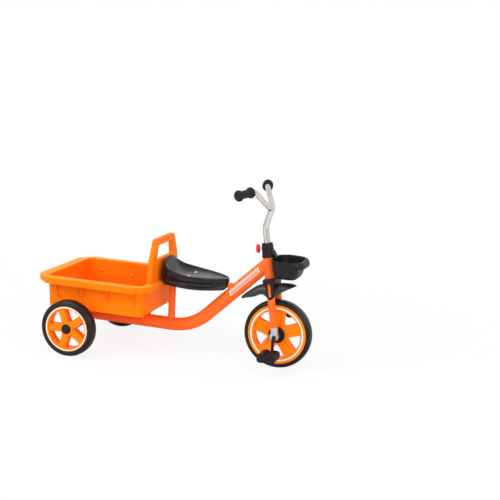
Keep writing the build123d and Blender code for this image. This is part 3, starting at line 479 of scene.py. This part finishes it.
def skinned(rings, closed=True):
    """A skin through rings of points, each ring extruded from the last one."""
    bm = bmesh.new()
    ring = [bm.verts.new(point) for point in rings[0]]
    edges = [bm.edges.new(pair) for pair in neighbours(ring, closed)]
    for points in rings[1:]:
        grown = set(bmesh.ops.extrude_edge_only(bm, edges=edges)["geom"])
        ring = [next(e.other_vert(v) for e in v.link_edges if e.other_vert(v) in grown) for v in ring]
        edges = [bm.edges.get(pair) for pair in neighbours(ring, closed)]
        for corner, point in zip(ring, points):
            corner.co = point
    bmesh.ops.remove_doubles(bm, verts=bm.verts, dist=0.00001)
    # Extruding leaves its parts in an order of its own, so they are put in one that each run repeats.
    slant = Vector((1.0, 0.377, 0.119))
    bm.verts.sort(key=lambda corner: corner.co.dot(slant))
    bm.edges.sort(key=lambda edge: (edge.verts[0].co + edge.verts[1].co).dot(slant))
    bm.faces.sort(key=lambda face: face.calc_center_median().dot(slant))
    bmesh.ops.recalc_face_normals(bm, faces=bm.faces)
    return bm


def at(rows, place):
    """A value read between the rows of (place, value)."""
    for (low, first), (high, last) in zip(rows, rows[1:]):
        if place <= high:
            return first + (last - first) * max(0, place - low) / (high - low)
    return rows[-1][1]


def thicken(made, wall, inwards=True):
    """Gives a skinned piece its wall before its surface is smoothed."""
    shell = made.modifiers.new("wall", "SOLIDIFY")
    shell.thickness = wall
    shell.offset = -1 if inwards else 1
    made.modifiers.move(len(made.modifiers) - 1, 0)


seat_low, seat_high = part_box("seat")
seat_back = seat_low.x - 0.0012
seat_run = seat_high.x - seat_back
seat_foot = seat_high.z - 0.098
# Along one side from the back to the nose: share of the length, half width, rim and foot heights.
seat_side = (
    (0.000, 0.000, 0.1010, 0.000), (0.000, 0.020, 0.1000, 0.000), (0.003, 0.038, 0.0950, 0.000),
    (0.013, 0.052, 0.0860, 0.000), (0.040, 0.062, 0.0765, 0.000), (0.080, 0.068, 0.0695, 0.000),
    (0.120, 0.071, 0.0650, 0.000), (0.170, 0.0735, 0.0612, -0.0005), (0.230, 0.0765, 0.0578, -0.001),
    (0.300, 0.0805, 0.0540, -0.0015), (0.380, 0.083, 0.0502, -0.002), (0.460, 0.082, 0.0474, -0.003),
    (0.540, 0.078, 0.0458, -0.004), (0.630, 0.0705, 0.0448, -0.005), (0.720, 0.0605, 0.0440, -0.005),
    (0.800, 0.0490, 0.0436, -0.005), (0.870, 0.0375, 0.0432, -0.005), (0.920, 0.0285, 0.0426, -0.005),
    (0.955, 0.0210, 0.0416, -0.0045), (0.980, 0.0140, 0.0402, 0.003), (0.995, 0.0065, 0.0388, 0.009),
    (1.000, 0.000, 0.0382, 0.0105),
)
# Along the middle of the dish: share of the length, and height.
seat_middle = (
    (0.00, 0.097), (0.03, 0.084), (0.06, 0.069), (0.09, 0.057), (0.12, 0.0500), (0.16, 0.0450),
    (0.22, 0.0415), (0.30, 0.0390), (0.38, 0.0370), (0.54, 0.0350), (0.72, 0.0352), (0.86, 0.0362),
    (0.95, 0.0372), (1.00, 0.0378),
)
seat_plan = list(seat_side) + [(share, -half, rim, foot) for share, half, rim, foot in seat_side[-2:0:-1]]


def seat_ring(lift, push, pull=0.0):
    """A ring of the skirt, lifted from the foot (a length) or the rim (below 0), and pushed out."""
    ring = []
    for i, (share, half, rim, foot) in enumerate(seat_plan):
        before, after = seat_plan[i - 1], seat_plan[(i + 1) % len(seat_plan)]
        out = Vector(((after[1] - before[1]), -(after[0] - before[0]) * seat_run, 0)).normalized()
        tall = rim - foot
        squeeze = min(1.0, tall / 0.046)
        up = lift * squeeze if lift >= 0 else tall + lift * squeeze
        recline = 0.034 * max(0, 1 - share / 0.26) ** 2 * (up / tall) ** 1.6
        bulge = 0.0098 * max(0, 1 - share / 0.16) * min(1, max(0, (up - 0.006) / 0.009))
        bulge = bulge * (1 - 0.5 * (up / tall) ** 2)
        groove = pull * min(1, max(0, (0.835 - share) / 0.035)) * min(1, max(0, (share - 0.02) / 0.06))
        along = seat_back + (share + recline) * seat_run
        corner = Vector((along, half * (1 - 0.5 * recline), seat_foot + foot + up))
        ring.append(corner - out * (push + bulge - groove))
    return ring


def dish_ring(scale, share_of_rim):
    """A ring of the dish, drawn in towards the spine of the saddle."""
    ring = []
    for (share, half, rim, foot), edge in zip(seat_plan, seat_ring(-0.0020, -0.0044)):
        spine = seat_back + min(0.93, max(0.20, share)) * seat_run
        x = spine + (edge.x - spine) * scale
        low = at(seat_middle, (x - seat_back) / seat_run)
        ring.append(Vector((x, edge.y * scale, seat_foot + low + (rim - low) * share_of_rim)))
    return ring


seat_rings = [
    seat_ring(0.0, -0.0008), seat_ring(0.0012, 0.0004), seat_ring(0.0085, 0.0008),
    seat_ring(0.0102, 0.0004, 0.0002), seat_ring(0.0116, -0.0004, 0.0042), seat_ring(0.0145, -0.0006, 0.0066),
    seat_ring(0.0210, -0.0004, 0.0064), seat_ring(0.0265, 0.0000, 0.0046), seat_ring(0.0300, 0.0010, 0.0008),
    seat_ring(0.0322, 0.0014), seat_ring(-0.0100, 0.0014), seat_ring(-0.0045, 0.0008),
    seat_ring(-0.0016, 0.0002), seat_ring(-0.0004, -0.0006), seat_ring(-0.0001, -0.0016),
    seat_ring(-0.0006, -0.0030), seat_ring(-0.0020, -0.0044),
    dish_ring(0.94, 0.66), dish_ring(0.89, 0.36), dish_ring(0.80, 0.15), dish_ring(0.62, 0.04),
    dish_ring(0.32, 0.0), dish_ring(0.0, 0.0),
]
saddle_plastic = Finish("saddle_polypropylene", Specular_IOR_Level=0.3)
saddle_clouds = saddle_plastic.noise(11.0)
saddle_worn = saddle_plastic.band(saddle_plastic.noise(30.0, 5.0), 0.35, 0.8)
saddle_colour = saddle_plastic.blend(saddle_clouds, tint(14, 13, 13), tint(22, 20, 19))
saddle_plastic.feed("Base Color", saddle_plastic.blend(saddle_worn * 0.25, saddle_colour, tint(52, 46, 38)))
saddle_plastic.feed("Roughness", 0.16 + 0.12 * saddle_worn)
saddle_plastic.bump(saddle_plastic.noise(1500.0, 2.0), 0.00008)
saddle = piece("saddle_shell", skinned(seat_rings), "frame", saddle_plastic, ["seat"],
               smooth=2)
thicken(saddle, 0.0030)

piece("seat_strap_plate", rounded("seat_strap", 0.0008), "frame", coat, ["seat_strap"])
screw_share = 0.40
screw_x = seat_back + screw_share * seat_run
screw_z = seat_foot + at(seat_middle, screw_share) + 0.0004
strap_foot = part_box("seat_strap")[0].z
for side_name, way in sides:
    screw = pan_head((screw_x, way * 0.037, screw_z), (0, -0.06 * way, 1), 0.0050, 0.0072)
    piece("saddle_screw_" + side_name, screw, "frame", plating)
    nut = pan_head((screw_x, way * 0.020, strap_foot), (0, 0, -1), 0.0048, 0.0062)
    piece("strap_nut_" + side_name, nut, "frame", plating)

# ---------------------------------------------------------------------------------------------
# Fork: a plated steerer, a crown plate, two straight 27 mm legs and a plated eye under each.
# Steel, welded and coated like the frame; the eyes are pressed on and zinc plated.
# ---------------------------------------------------------------------------------------------
dress(coat, "fork_leg_right", "fork_leg_left")
piece("fork_crown_plate", rounded("fork_crown", 0.0015), "steering", coat, ["fork_crown"])
for side_name in ("right", "left"):
    eye = rounded("dropout_" + side_name, 0.0016, 4)
    piece("dropout_eye_" + side_name, eye, "steering", plating, ["dropout_" + side_name])

# ---------------------------------------------------------------------------------------------
# Fork shroud and leg guards: a black cover over the crown, with a windowed arm down each leg.
# Moulded polypropylene, clipped over the fork before the steerer goes into the head tube.
# ---------------------------------------------------------------------------------------------
lean = radians(9)
steer_place = Vector(next(joint for joint in frame["joints"] if joint["name"] == "steer")["pos_m"])
steer_frame = Matrix((
    (cos(lean), 0, -sin(lean), steer_place.x),
    (0, 1, 0, steer_place.y),
    (sin(lean), 0, cos(lean), steer_place.z),
    (0, 0, 0, 1),
))
level_frame = steer_frame.inverted()


def steered(forward, left, up):
    """A point given along the steering's own directions, from the foot of its axis."""
    return steer_frame @ Vector((forward, left, up))


def along_axis(bm, rows):
    """Slides the points of a copy along the steering axis, by rows of (old height, new height)."""
    for corner in bm.verts:
        place = level_frame @ corner.co
        place.z = at(rows, place.z)
        corner.co = steer_frame @ place


def cut_plate(profile, half):
    """A plate cut to a profile of (x, z) points, as thick as two halves across the trike."""
    bm = bmesh.new()
    face = bm.faces.new([bm.verts.new((x, -half, z)) for x, z in profile])
    grown = bmesh.ops.extrude_face_region(bm, geom=[face])["geom"]
    moved = [part for part in grown if isinstance(part, bmesh.types.BMVert)]
    bmesh.ops.translate(bm, vec=(0, 2 * half, 0), verts=moved)
    bmesh.ops.recalc_face_normals(bm, faces=bm.faces)
    return bm


def carved(bm, cutter):
    """The first mesh with the second one cut out of it."""
    solids = []
    for part in (bm, cutter):
        mesh = bpy.data.meshes.new("blank")
        part.to_mesh(mesh)
        part.free()
        solids.append(to_collection(mesh, "blank"))
    cut = solids[0].modifiers.new("cut", "BOOLEAN")
    cut.object = solids[1]
    cut.operation = "DIFFERENCE"
    cut.solver = "EXACT"
    done = bmesh.new()
    done.from_mesh(solids[0].evaluated_get(bpy.context.evaluated_depsgraph_get()).to_mesh())
    for solid in solids:
        bpy.data.objects.remove(solid)
    bmesh.ops.remove_doubles(done, verts=done.verts, dist=0.00001)
    return done


shroud = rounded("fork_shroud", 0.0018, 4)
along_axis(shroud, ((0.0, 0.0), (0.2064, 0.2064), (0.2068, 0.2098), (0.2096, 0.2126)))
# The window is a slot with round ends, cut through both sides.
window_forward = 0.008
window_radius = 0.0058
window_top = 0.1940
window_foot = 0.1545
window_line = []
for step in range(24):
    turn = 2 * pi * step / 24
    level = window_top if sin(turn) > 0 else window_foot
    ahead = window_forward + window_radius * cos(turn)
    window_line.append(steered(ahead, 0, level + window_radius * sin(turn)))
window = cut_plate([(point.x, point.z) for point in window_line], 0.09)
piece("shroud_moulding", carved(shroud, window), "steering", black, ["fork_shroud"],
      edge=0.0005)
for side_name in ("right", "left"):
    guard_node = "leg_guard_" + side_name
    arm = rounded(guard_node, 0.0007)
    along_axis(arm, (
        (0.0, 0.0276), (0.1291, 0.1567), (0.1300, 0.1576),
        (0.1704, 0.1938), (0.1768, 0.2002), (0.1906, 0.2050),
    ))
    piece("leg_guard_moulding_" + side_name, arm, "steering", black, [guard_node])

# ---------------------------------------------------------------------------------------------
# Mudguard: a thin crowned crescent over the front wheel, pointed at the back, with a small arch.
# Black polypropylene with a satin sheen, screwed up into the crown through its pad.
# ---------------------------------------------------------------------------------------------
# Place along the trike, height of the crown, and height of the lower edge.
guard_rows = (
    (0.2474, 0.2548, 0.2532), (0.2490, 0.2578, 0.2516), (0.2540, 0.2636, 0.2524), (0.2620, 0.2706, 0.2556),
    (0.2720, 0.2786, 0.2592), (0.2840, 0.2886, 0.2620), (0.2960, 0.2982, 0.2648), (0.3080, 0.3052, 0.2694),
    (0.3180, 0.3096, 0.2752), (0.3260, 0.3122, 0.2792), (0.3340, 0.3143, 0.2796), (0.3420, 0.3160, 0.2768),
    (0.3500, 0.3175, 0.2734), (0.3580, 0.3188, 0.2712), (0.3660, 0.3199, 0.2702), (0.3740, 0.3210, 0.2702),
    (0.3820, 0.3220, 0.2728), (0.3900, 0.3230, 0.2794), (0.3980, 0.3240, 0.2876), (0.4080, 0.3250, 0.2956),
    (0.4200, 0.3258, 0.3028), (0.4320, 0.3257, 0.3092), (0.4420, 0.3247, 0.3140), (0.4500, 0.3228, 0.3172),
    (0.4550, 0.3208, 0.3190), (0.4568, 0.3198, 0.3192),
)
guard_rings = []
for along, crown, edge in guard_rows:
    flare = exp(-(((along - 0.3710) / 0.0170) ** 2))
    deep = crown - edge
    side = []
    for share in (0.0, 0.16, 0.32, 0.47, 0.60, 0.71, 0.80, 0.88, 0.95, 1.0):
        down = deep * share ** 2.2
        spread = 0.0268 * min(1.0, (down / 0.020) ** 0.375)
        side.append((spread + 0.0215 * flare * share ** 4, down))
    side.append((side[-1][0] + 0.0004, side[-1][1] + 0.0003))
    line = [(-a, d) for a, d in side[::-1]] + side[1:]
    guard_rings.append([Vector((along, across, crown - down)) for across, down in line])
sheen = Finish("black_satin_polypropylene", Specular_IOR_Level=0.5, Sheen_Weight=0.25, Sheen_Roughness=0.4)
sheen_clouds = sheen.noise(12.0)
sheen.feed("Base Color", sheen.blend(sheen_clouds, tint(20, 18, 19), tint(30, 27, 29)))
sheen.feed("Roughness", 0.36 + 0.12 * sheen_clouds)
sheen.bump(sheen.noise(1300.0, 2.0), 0.00006)
crescent = piece("mudguard_crescent", skinned(guard_rings, closed=False), "steering", sheen,
                 ["mudguard"], smooth=1)
thicken(crescent, 0.0024)

# ---------------------------------------------------------------------------------------------
# Collar, clamp knob and stem: the collar clamps a chromed stem, drawn up by a fluted red knob.
# Black polypropylene over steel; the knob is moulded on the head of a plated 6 mm screw.
# ---------------------------------------------------------------------------------------------
steer_up = steered(0, 0, 1) - steered(0, 0, 0)
collar_foot = 0.2986
collar_piece = turned(
    [
        (-0.0085, 0.0224), (-0.0085, 0.0233), (-0.0078, 0.0239), (0.0030, 0.0238), (0.0040, 0.0232),
        (0.0044, 0.0226), (0.0050, 0.0228), (0.0250, 0.0219), (0.0410, 0.0212), (0.0436, 0.0206),
        (0.0453, 0.0194), (0.0460, 0.0178), (0.0460, 0.0150), (0.0452, 0.0140), (0.0450, 0.0122),
        (0.0160, 0.0122), (0.0160, 0.0127), (0.0004, 0.0127), (0.0004, 0.0224),
    ],
    steered(0, 0, collar_foot), steer_up, 96,
)
piece("collar_moulding", collar_piece, "steering", black, ["collar"], edge=0.0002)

red = Finish("red_clamp_plastic", Specular_IOR_Level=0.4)
red_clouds = red.noise(40.0)
red.feed("Base Color", red.blend(red_clouds, tint(214, 12, 18), tint(232, 22, 26)))
red.feed("Roughness", 0.28 + 0.12 * red_clouds)
red.bump(red.noise(900.0, 1.0), 0.00005)
knob_low, knob_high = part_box("knob")
knob_way = steered(-1, 0, 0) - steered(0, 0, 0)
knob_face = (knob_low + knob_high) / 2 + knob_way * 0.0045
knob_disc = turned(
    [
        (0, 0), (0, 0.0060), (-0.0006, 0.0075), (-0.0006, 0.0125), (0.0, 0.0140), (-0.0006, 0.0158),
        (-0.0020, 0.0168), (-0.0070, 0.0168), (-0.0084, 0.0158), (-0.0090, 0.0140), (-0.0090, 0.0080),
        (-0.0100, 0.0065), (-0.0100, 0),
    ],
    knob_face, knob_way, 96,
)
for corner in knob_disc.verts:
    away = corner.co - knob_face
    across = away - knob_way * away.dot(knob_way)
    turn = atan2(across.y, across.dot(steer_up))
    if across.length > 0.013:
        corner.co -= across * 0.045 * max(0, cos(8 * turn)) ** 2
piece("knob_moulding", knob_disc, "steering", red, ["knob"])
dress(plating, "knob_screw")

chrome = Finish("chrome_plating", Metallic=1.0)
chrome_haze = chrome.noise(35.0, 4.0)
chrome.feed("Base Color", chrome.blend(chrome_haze, tint(188, 188, 184), tint(216, 214, 208)))
chrome.feed("Roughness", 0.07 + 0.07 * chrome_haze)
chrome.bump(chrome.noise(180.0, 1.0), 0.00002)
dress(chrome, "stem", "handlebar")

# ---------------------------------------------------------------------------------------------
# Grips: soft black mouldings with a round flange at each end and fine ribs between them.
# Pushed on to the bar's ends with soapy water, and closed over them.
# ---------------------------------------------------------------------------------------------
grip_rubber = Finish("grip_rubber", Specular_IOR_Level=0.25)
grip_clouds = grip_rubber.noise(30.0)
grip_rubber.feed("Base Color", grip_rubber.blend(grip_clouds, tint(18, 17, 16), tint(27, 25, 24)))
grip_rubber.feed("Roughness", 0.48 + 0.15 * grip_clouds)
grip_rubber.bump(grip_rubber.noise(1000.0, 2.0), 0.00010)
for side_name, way in sides:
    bar_inner = steered(-0.003, way * 0.079, 0.5446)
    bar_outer = steered(-0.030, way * 0.168, 0.5426)
    along = (bar_outer - bar_inner).normalized()
    reach = (bar_outer - bar_inner).length - 0.022
    ribs = []
    for rib in range(9):
        start = 0.0105 + rib * 0.0064
        ribs += [(start, 0.0138), (start + 0.0010, 0.0149)]
        ribs += [(start + 0.0040, 0.0149), (start + 0.0050, 0.0138)]
    outline = (
        [(0.0, 0.0101), (0.0, 0.0186), (0.0008, 0.0200), (0.0022, 0.0203), (0.0048, 0.0203),
         (0.0062, 0.0200), (0.0070, 0.0186), (0.0078, 0.0152), (0.0095, 0.0140)]
        + ribs
        + [(reach - 0.0015, 0.0142), (reach - 0.0004, 0.0155), (reach, 0.0186), (reach + 0.0008, 0.0200),
           (reach + 0.0022, 0.0203), (reach + 0.0048, 0.0203), (reach + 0.0060, 0.0199),
           (reach + 0.0068, 0.0184), (reach + 0.0070, 0.0120), (reach + 0.0064, 0.0100),
           (reach + 0.0050, 0.0088), (reach + 0.0046, 0.0), (0.060, 0.0), (0.060, 0.0101)]
    )
    piece("grip_moulding_" + side_name, turned(outline, bar_inner + along * 0.022, along, 72), "steering",
          grip_rubber, ["grip_" + side_name], edge=0.0002)

# ---------------------------------------------------------------------------------------------
# Basket: a small deep bowl with a rolled rim, hung from the front of the collar by a bracket.
# Moulded in one piece in black polypropylene; its bracket is gripped under the collar.
# ---------------------------------------------------------------------------------------------
rim_z = 0.4187
floor_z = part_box("basket")[0].z - 0.0050
# Level, back, length, half width and corner of the bowl's outside, from the floor to the lip.
bowl_rows = (
    (floor_z, 0.3935, 0.0500, 0.0260, 0.0120), (floor_z + 0.0001, 0.3872, 0.0680, 0.0440, 0.0190),
    (floor_z + 0.0014, 0.3847, 0.0740, 0.0500, 0.0225), (floor_z + 0.0048, 0.3824, 0.0795, 0.0546, 0.0260),
    (floor_z + 0.0100, 0.3803, 0.0840, 0.0590, 0.0290), (floor_z + 0.0180, 0.3777, 0.0892, 0.0636, 0.0320),
    (floor_z + 0.0320, 0.3742, 0.0950, 0.0676, 0.0350), (floor_z + 0.0480, 0.3712, 0.1000, 0.0696, 0.0375),
    (rim_z - 0.0095, 0.3690, 0.1035, 0.0708, 0.0400), (rim_z - 0.0040, 0.3682, 0.1065, 0.0716, 0.0415),
    (rim_z - 0.0014, 0.3672, 0.1100, 0.0728, 0.0430), (rim_z - 0.0003, 0.3656, 0.1143, 0.0748, 0.0455),
    (rim_z - 0.0008, 0.3642, 0.1178, 0.0764, 0.0475), (rim_z - 0.0028, 0.3636, 0.1194, 0.0772, 0.0484),
    (rim_z - 0.0075, 0.3634, 0.1200, 0.0774, 0.0485),
)


def bowl_ring(level, back, length, half, corner):
    """A rounded rectangle, ahead of the head tube, at a level."""
    ring = []
    for quarter, (x_way, y_way) in enumerate(((1, 1), (-1, 1), (-1, -1), (1, -1))):
        for turn in range(9):
            angle = (quarter + turn / 8) * pi / 2
            ring.append(Vector((
                back + length / 2 + x_way * (length / 2 - corner) + corner * cos(angle),
                y_way * (half - corner) + corner * sin(angle),
                level,
            )))
    return ring


bowl_rings = [[Vector((0.413, 0, floor_z))] * 36] + [bowl_ring(*row) for row in bowl_rows]
# At the front the rim runs out into a broad lip that is turned down.  How far out, and how far down.
lip_rows = ((0.0, 0.0), (0.0020, 0.0004), (0.0055, 0.0022), (0.0085, 0.0075), (0.0098, 0.0185))
for ring, (reach, drop) in zip(bowl_rings[-5:], lip_rows):
    for corner in ring:
        front = min(1.0, max(0.0, (corner.x - 0.4250) / 0.0560))
        front = front * front * (3 - 2 * front)
        corner.x += reach * front
        corner.z -= drop * front
bowl = piece("basket_bowl", skinned(bowl_rings), "steering", black, ["basket"], smooth=1)
thicken(bowl, 0.0026)
bracket = cut_plate(
    [
        (0.3575, 0.4290), (0.3560, 0.4435), (0.3608, 0.4440), (0.3660, 0.4362), (0.3715, 0.4270),
        (0.3738, 0.4190), (0.3738, 0.4120), (0.3690, 0.4120), (0.3684, 0.4262), (0.3662, 0.4290),
    ],
    0.0150,
)
piece("basket_bracket", bracket, "steering", black, edge=0.0014)
rib = cut_plate([(0.3700, 0.4140), (0.3736, 0.4120), (0.3790, 0.3740), (0.3765, 0.3700)], 0.0026)
piece("basket_rib", rib, "steering", black, edge=0.0007)

# ---------------------------------------------------------------------------------------------
# Stripes: a plain silver and white decal along each side of the neck.
# Printed vinyl, 0.2 mm thick, stuck on over the powder coat before the fork goes in.
# ---------------------------------------------------------------------------------------------
tube_radius = 0.0251
neck_rise = radians(44)
neck_start = Vector((0.052, 0, 0.110))
neck_way = Vector((cos(neck_rise), 0, sin(neck_rise)))
neck_out = Vector((-sin(neck_rise), 0, cos(neck_rise)))
vinyl = Finish("striped_vinyl", Specular_IOR_Level=0.4)
decal_place = vinyl.node("ShaderNodeUVMap", {"uv_map": "decal"}, {})
run_share = vinyl.node("ShaderNodeSeparateXYZ", {}, {0: decal_place}, "X")
width_share = vinyl.node("ShaderNodeSeparateXYZ", {}, {0: decal_place}, "Y")


def stripe(value, middle, half, soft=0.008):
    """1 inside a stripe about a middle, and 0 outside it."""
    away = vinyl.node("ShaderNodeMath", {"operation": "ABSOLUTE"}, {0: value - middle})
    return 1 - vinyl.band(away, half - soft, half + soft)


inside = stripe(run_share, 0.5, 0.475, 0.003) * stripe(width_share, 0.5, 0.40, 0.02)
upper_stripe = stripe(width_share, 0.66, 0.105, 0.02) * stripe(run_share, 0.5, 0.455, 0.003)
lower_stripe = stripe(width_share, 0.33, 0.060, 0.02) * stripe(run_share, 0.5, 0.455, 0.003)
print_grain = vinyl.noise(90.0)
border_ink = vinyl.blend(print_grain, tint(236, 226, 206), tint(246, 240, 226))
ground_ink = vinyl.blend(print_grain, tint(248, 84, 18), tint(252, 94, 26))
white_ink = vinyl.blend(print_grain, tint(226, 214, 216), tint(242, 236, 238))
silver_ink = vinyl.blend(print_grain, tint(168, 160, 170), tint(194, 186, 192))
printed = vinyl.blend(inside, border_ink, ground_ink)
printed = vinyl.blend(upper_stripe, printed, white_ink)
vinyl.feed("Base Color", vinyl.blend(lower_stripe, printed, silver_ink))
vinyl.feed("Roughness", 0.3 + 0.1 * print_grain)
for side_name, way in sides:
    bm = bmesh.new()
    bmesh.ops.create_grid(bm, x_segments=24, y_segments=10, size=0.5)
    places = bm.loops.layers.uv.new("decal")
    for face in bm.faces:
        for loop in face.loops:
            loop[places].uv = (loop.vert.co.x + 0.5, loop.vert.co.y + 0.5)
    for corner in bm.verts:
        share, across = corner.co.x + 0.5, corner.co.y + 0.5
        angle = radians(-10 + 44 * across)
        run = 0.2150 + 0.1500 * share + 0.0070 * across
        out = neck_out * sin(angle) + Vector((0, way * cos(angle), 0))
        corner.co = neck_start + neck_way * run + tube_radius * out
    if way < 0:
        bmesh.ops.reverse_faces(bm, faces=bm.faces)
    decal = piece("neck_stripes_" + side_name, bm, "frame", vinyl)
    thicken(decal, 0.00022, inwards=False)

# ---------------------------------------------------------------------------------------------
# Studio: a pale floor, soft light from above and the left, and the camera.
# The floor and the backdrop show white to the camera and in reflections.
# ---------------------------------------------------------------------------------------------
floor_mesh = bpy.data.meshes.new("floor")
bm = bmesh.new()
bmesh.ops.create_grid(bm, x_segments=1, y_segments=1, size=30.0)
bm.to_mesh(floor_mesh)
bm.free()
floor = to_collection(floor_mesh, "floor")
paper = Finish("white_paper", Roughness=0.9, Specular_IOR_Level=0.1)
paper.feed("Base Color", tint(238, 238, 238))
rays = paper.node("ShaderNodeLightPath", {}, {}, "Is Camera Ray")
spot = paper.node("ShaderNodeTexCoord", {}, {}, "Object")
far = paper.band(paper.node("ShaderNodeVectorMath", {"operation": "LENGTH"}, {0: spot}, "Value"), 0.55, 1.8)
glow = paper.node("ShaderNodeEmission", {}, {"Color": (1, 1, 1, 1), "Strength": 1.0})
lit = Channel(paper, paper.shader.outputs[0])
mixed = paper.node("ShaderNodeMixShader", {}, {0: (0.86 + 0.14 * far) * rays, 1: lit, 2: glow})
paper.plug(paper.tree.nodes["Material Output"].inputs["Surface"], mixed)
floor_mesh.materials.append(paper.material)

world = bpy.data.worlds.new("studio")
world.use_nodes = True
bpy.context.scene.world = world
tree = world.node_tree
background = tree.nodes["Background"]
background.inputs["Color"].default_value = (1, 1, 1, 1)
path = tree.nodes.new("ShaderNodeLightPath")
seen = path.outputs["Is Camera Ray"]
for kind in ("Is Glossy Ray", "Is Transmission Ray"):
    either = tree.nodes.new("ShaderNodeMath")
    either.operation = "MAXIMUM"
    tree.links.new(seen, either.inputs[0])
    tree.links.new(path.outputs[kind], either.inputs[1])
    seen = either.outputs[0]
level = tree.nodes.new("ShaderNodeMapRange")
level.inputs["To Min"].default_value = 0.84
level.inputs["To Max"].default_value = 1.0
tree.links.new(seen, level.inputs["Value"])
tree.links.new(level.outputs[0], background.inputs["Strength"])


def soft_lamp(name, place, aim, size, power):
    """A round soft box aimed at a point."""
    lamp = bpy.data.lights.new(name, "AREA")
    lamp.shape = "DISK"
    lamp.size = size
    lamp.energy = power
    turn = (Vector(place) - Vector(aim)).to_track_quat("Z", "Y").to_matrix().to_4x4()
    to_collection(lamp, name).matrix_world = Matrix.Translation(place) @ turn


soft_lamp("key_lamp", (-1.6, -2.2, 2.9), (0, 0, 0.2), 2.2, 68)
soft_lamp("fill_lamp", (2.4, -1.8, 1.6), (0, 0, 0.25), 2.0, 32)

lens = bpy.data.cameras.new("camera")
lens.lens = 75.82
lens.sensor_width = 36.0
camera = to_collection(lens, "camera")
camera.matrix_world = (
    Matrix.Translation((1.4459, -3.6577, 1.2188))
    @ Matrix.Rotation(radians(17.84), 4, "Z")
    @ Matrix.Rotation(radians(90 - 11.54), 4, "X")
    @ Matrix.Rotation(radians(2.90), 4, "Z")
)
bpy.context.scene.camera = camera
bpy.context.scene.view_settings.view_transform = "Standard"
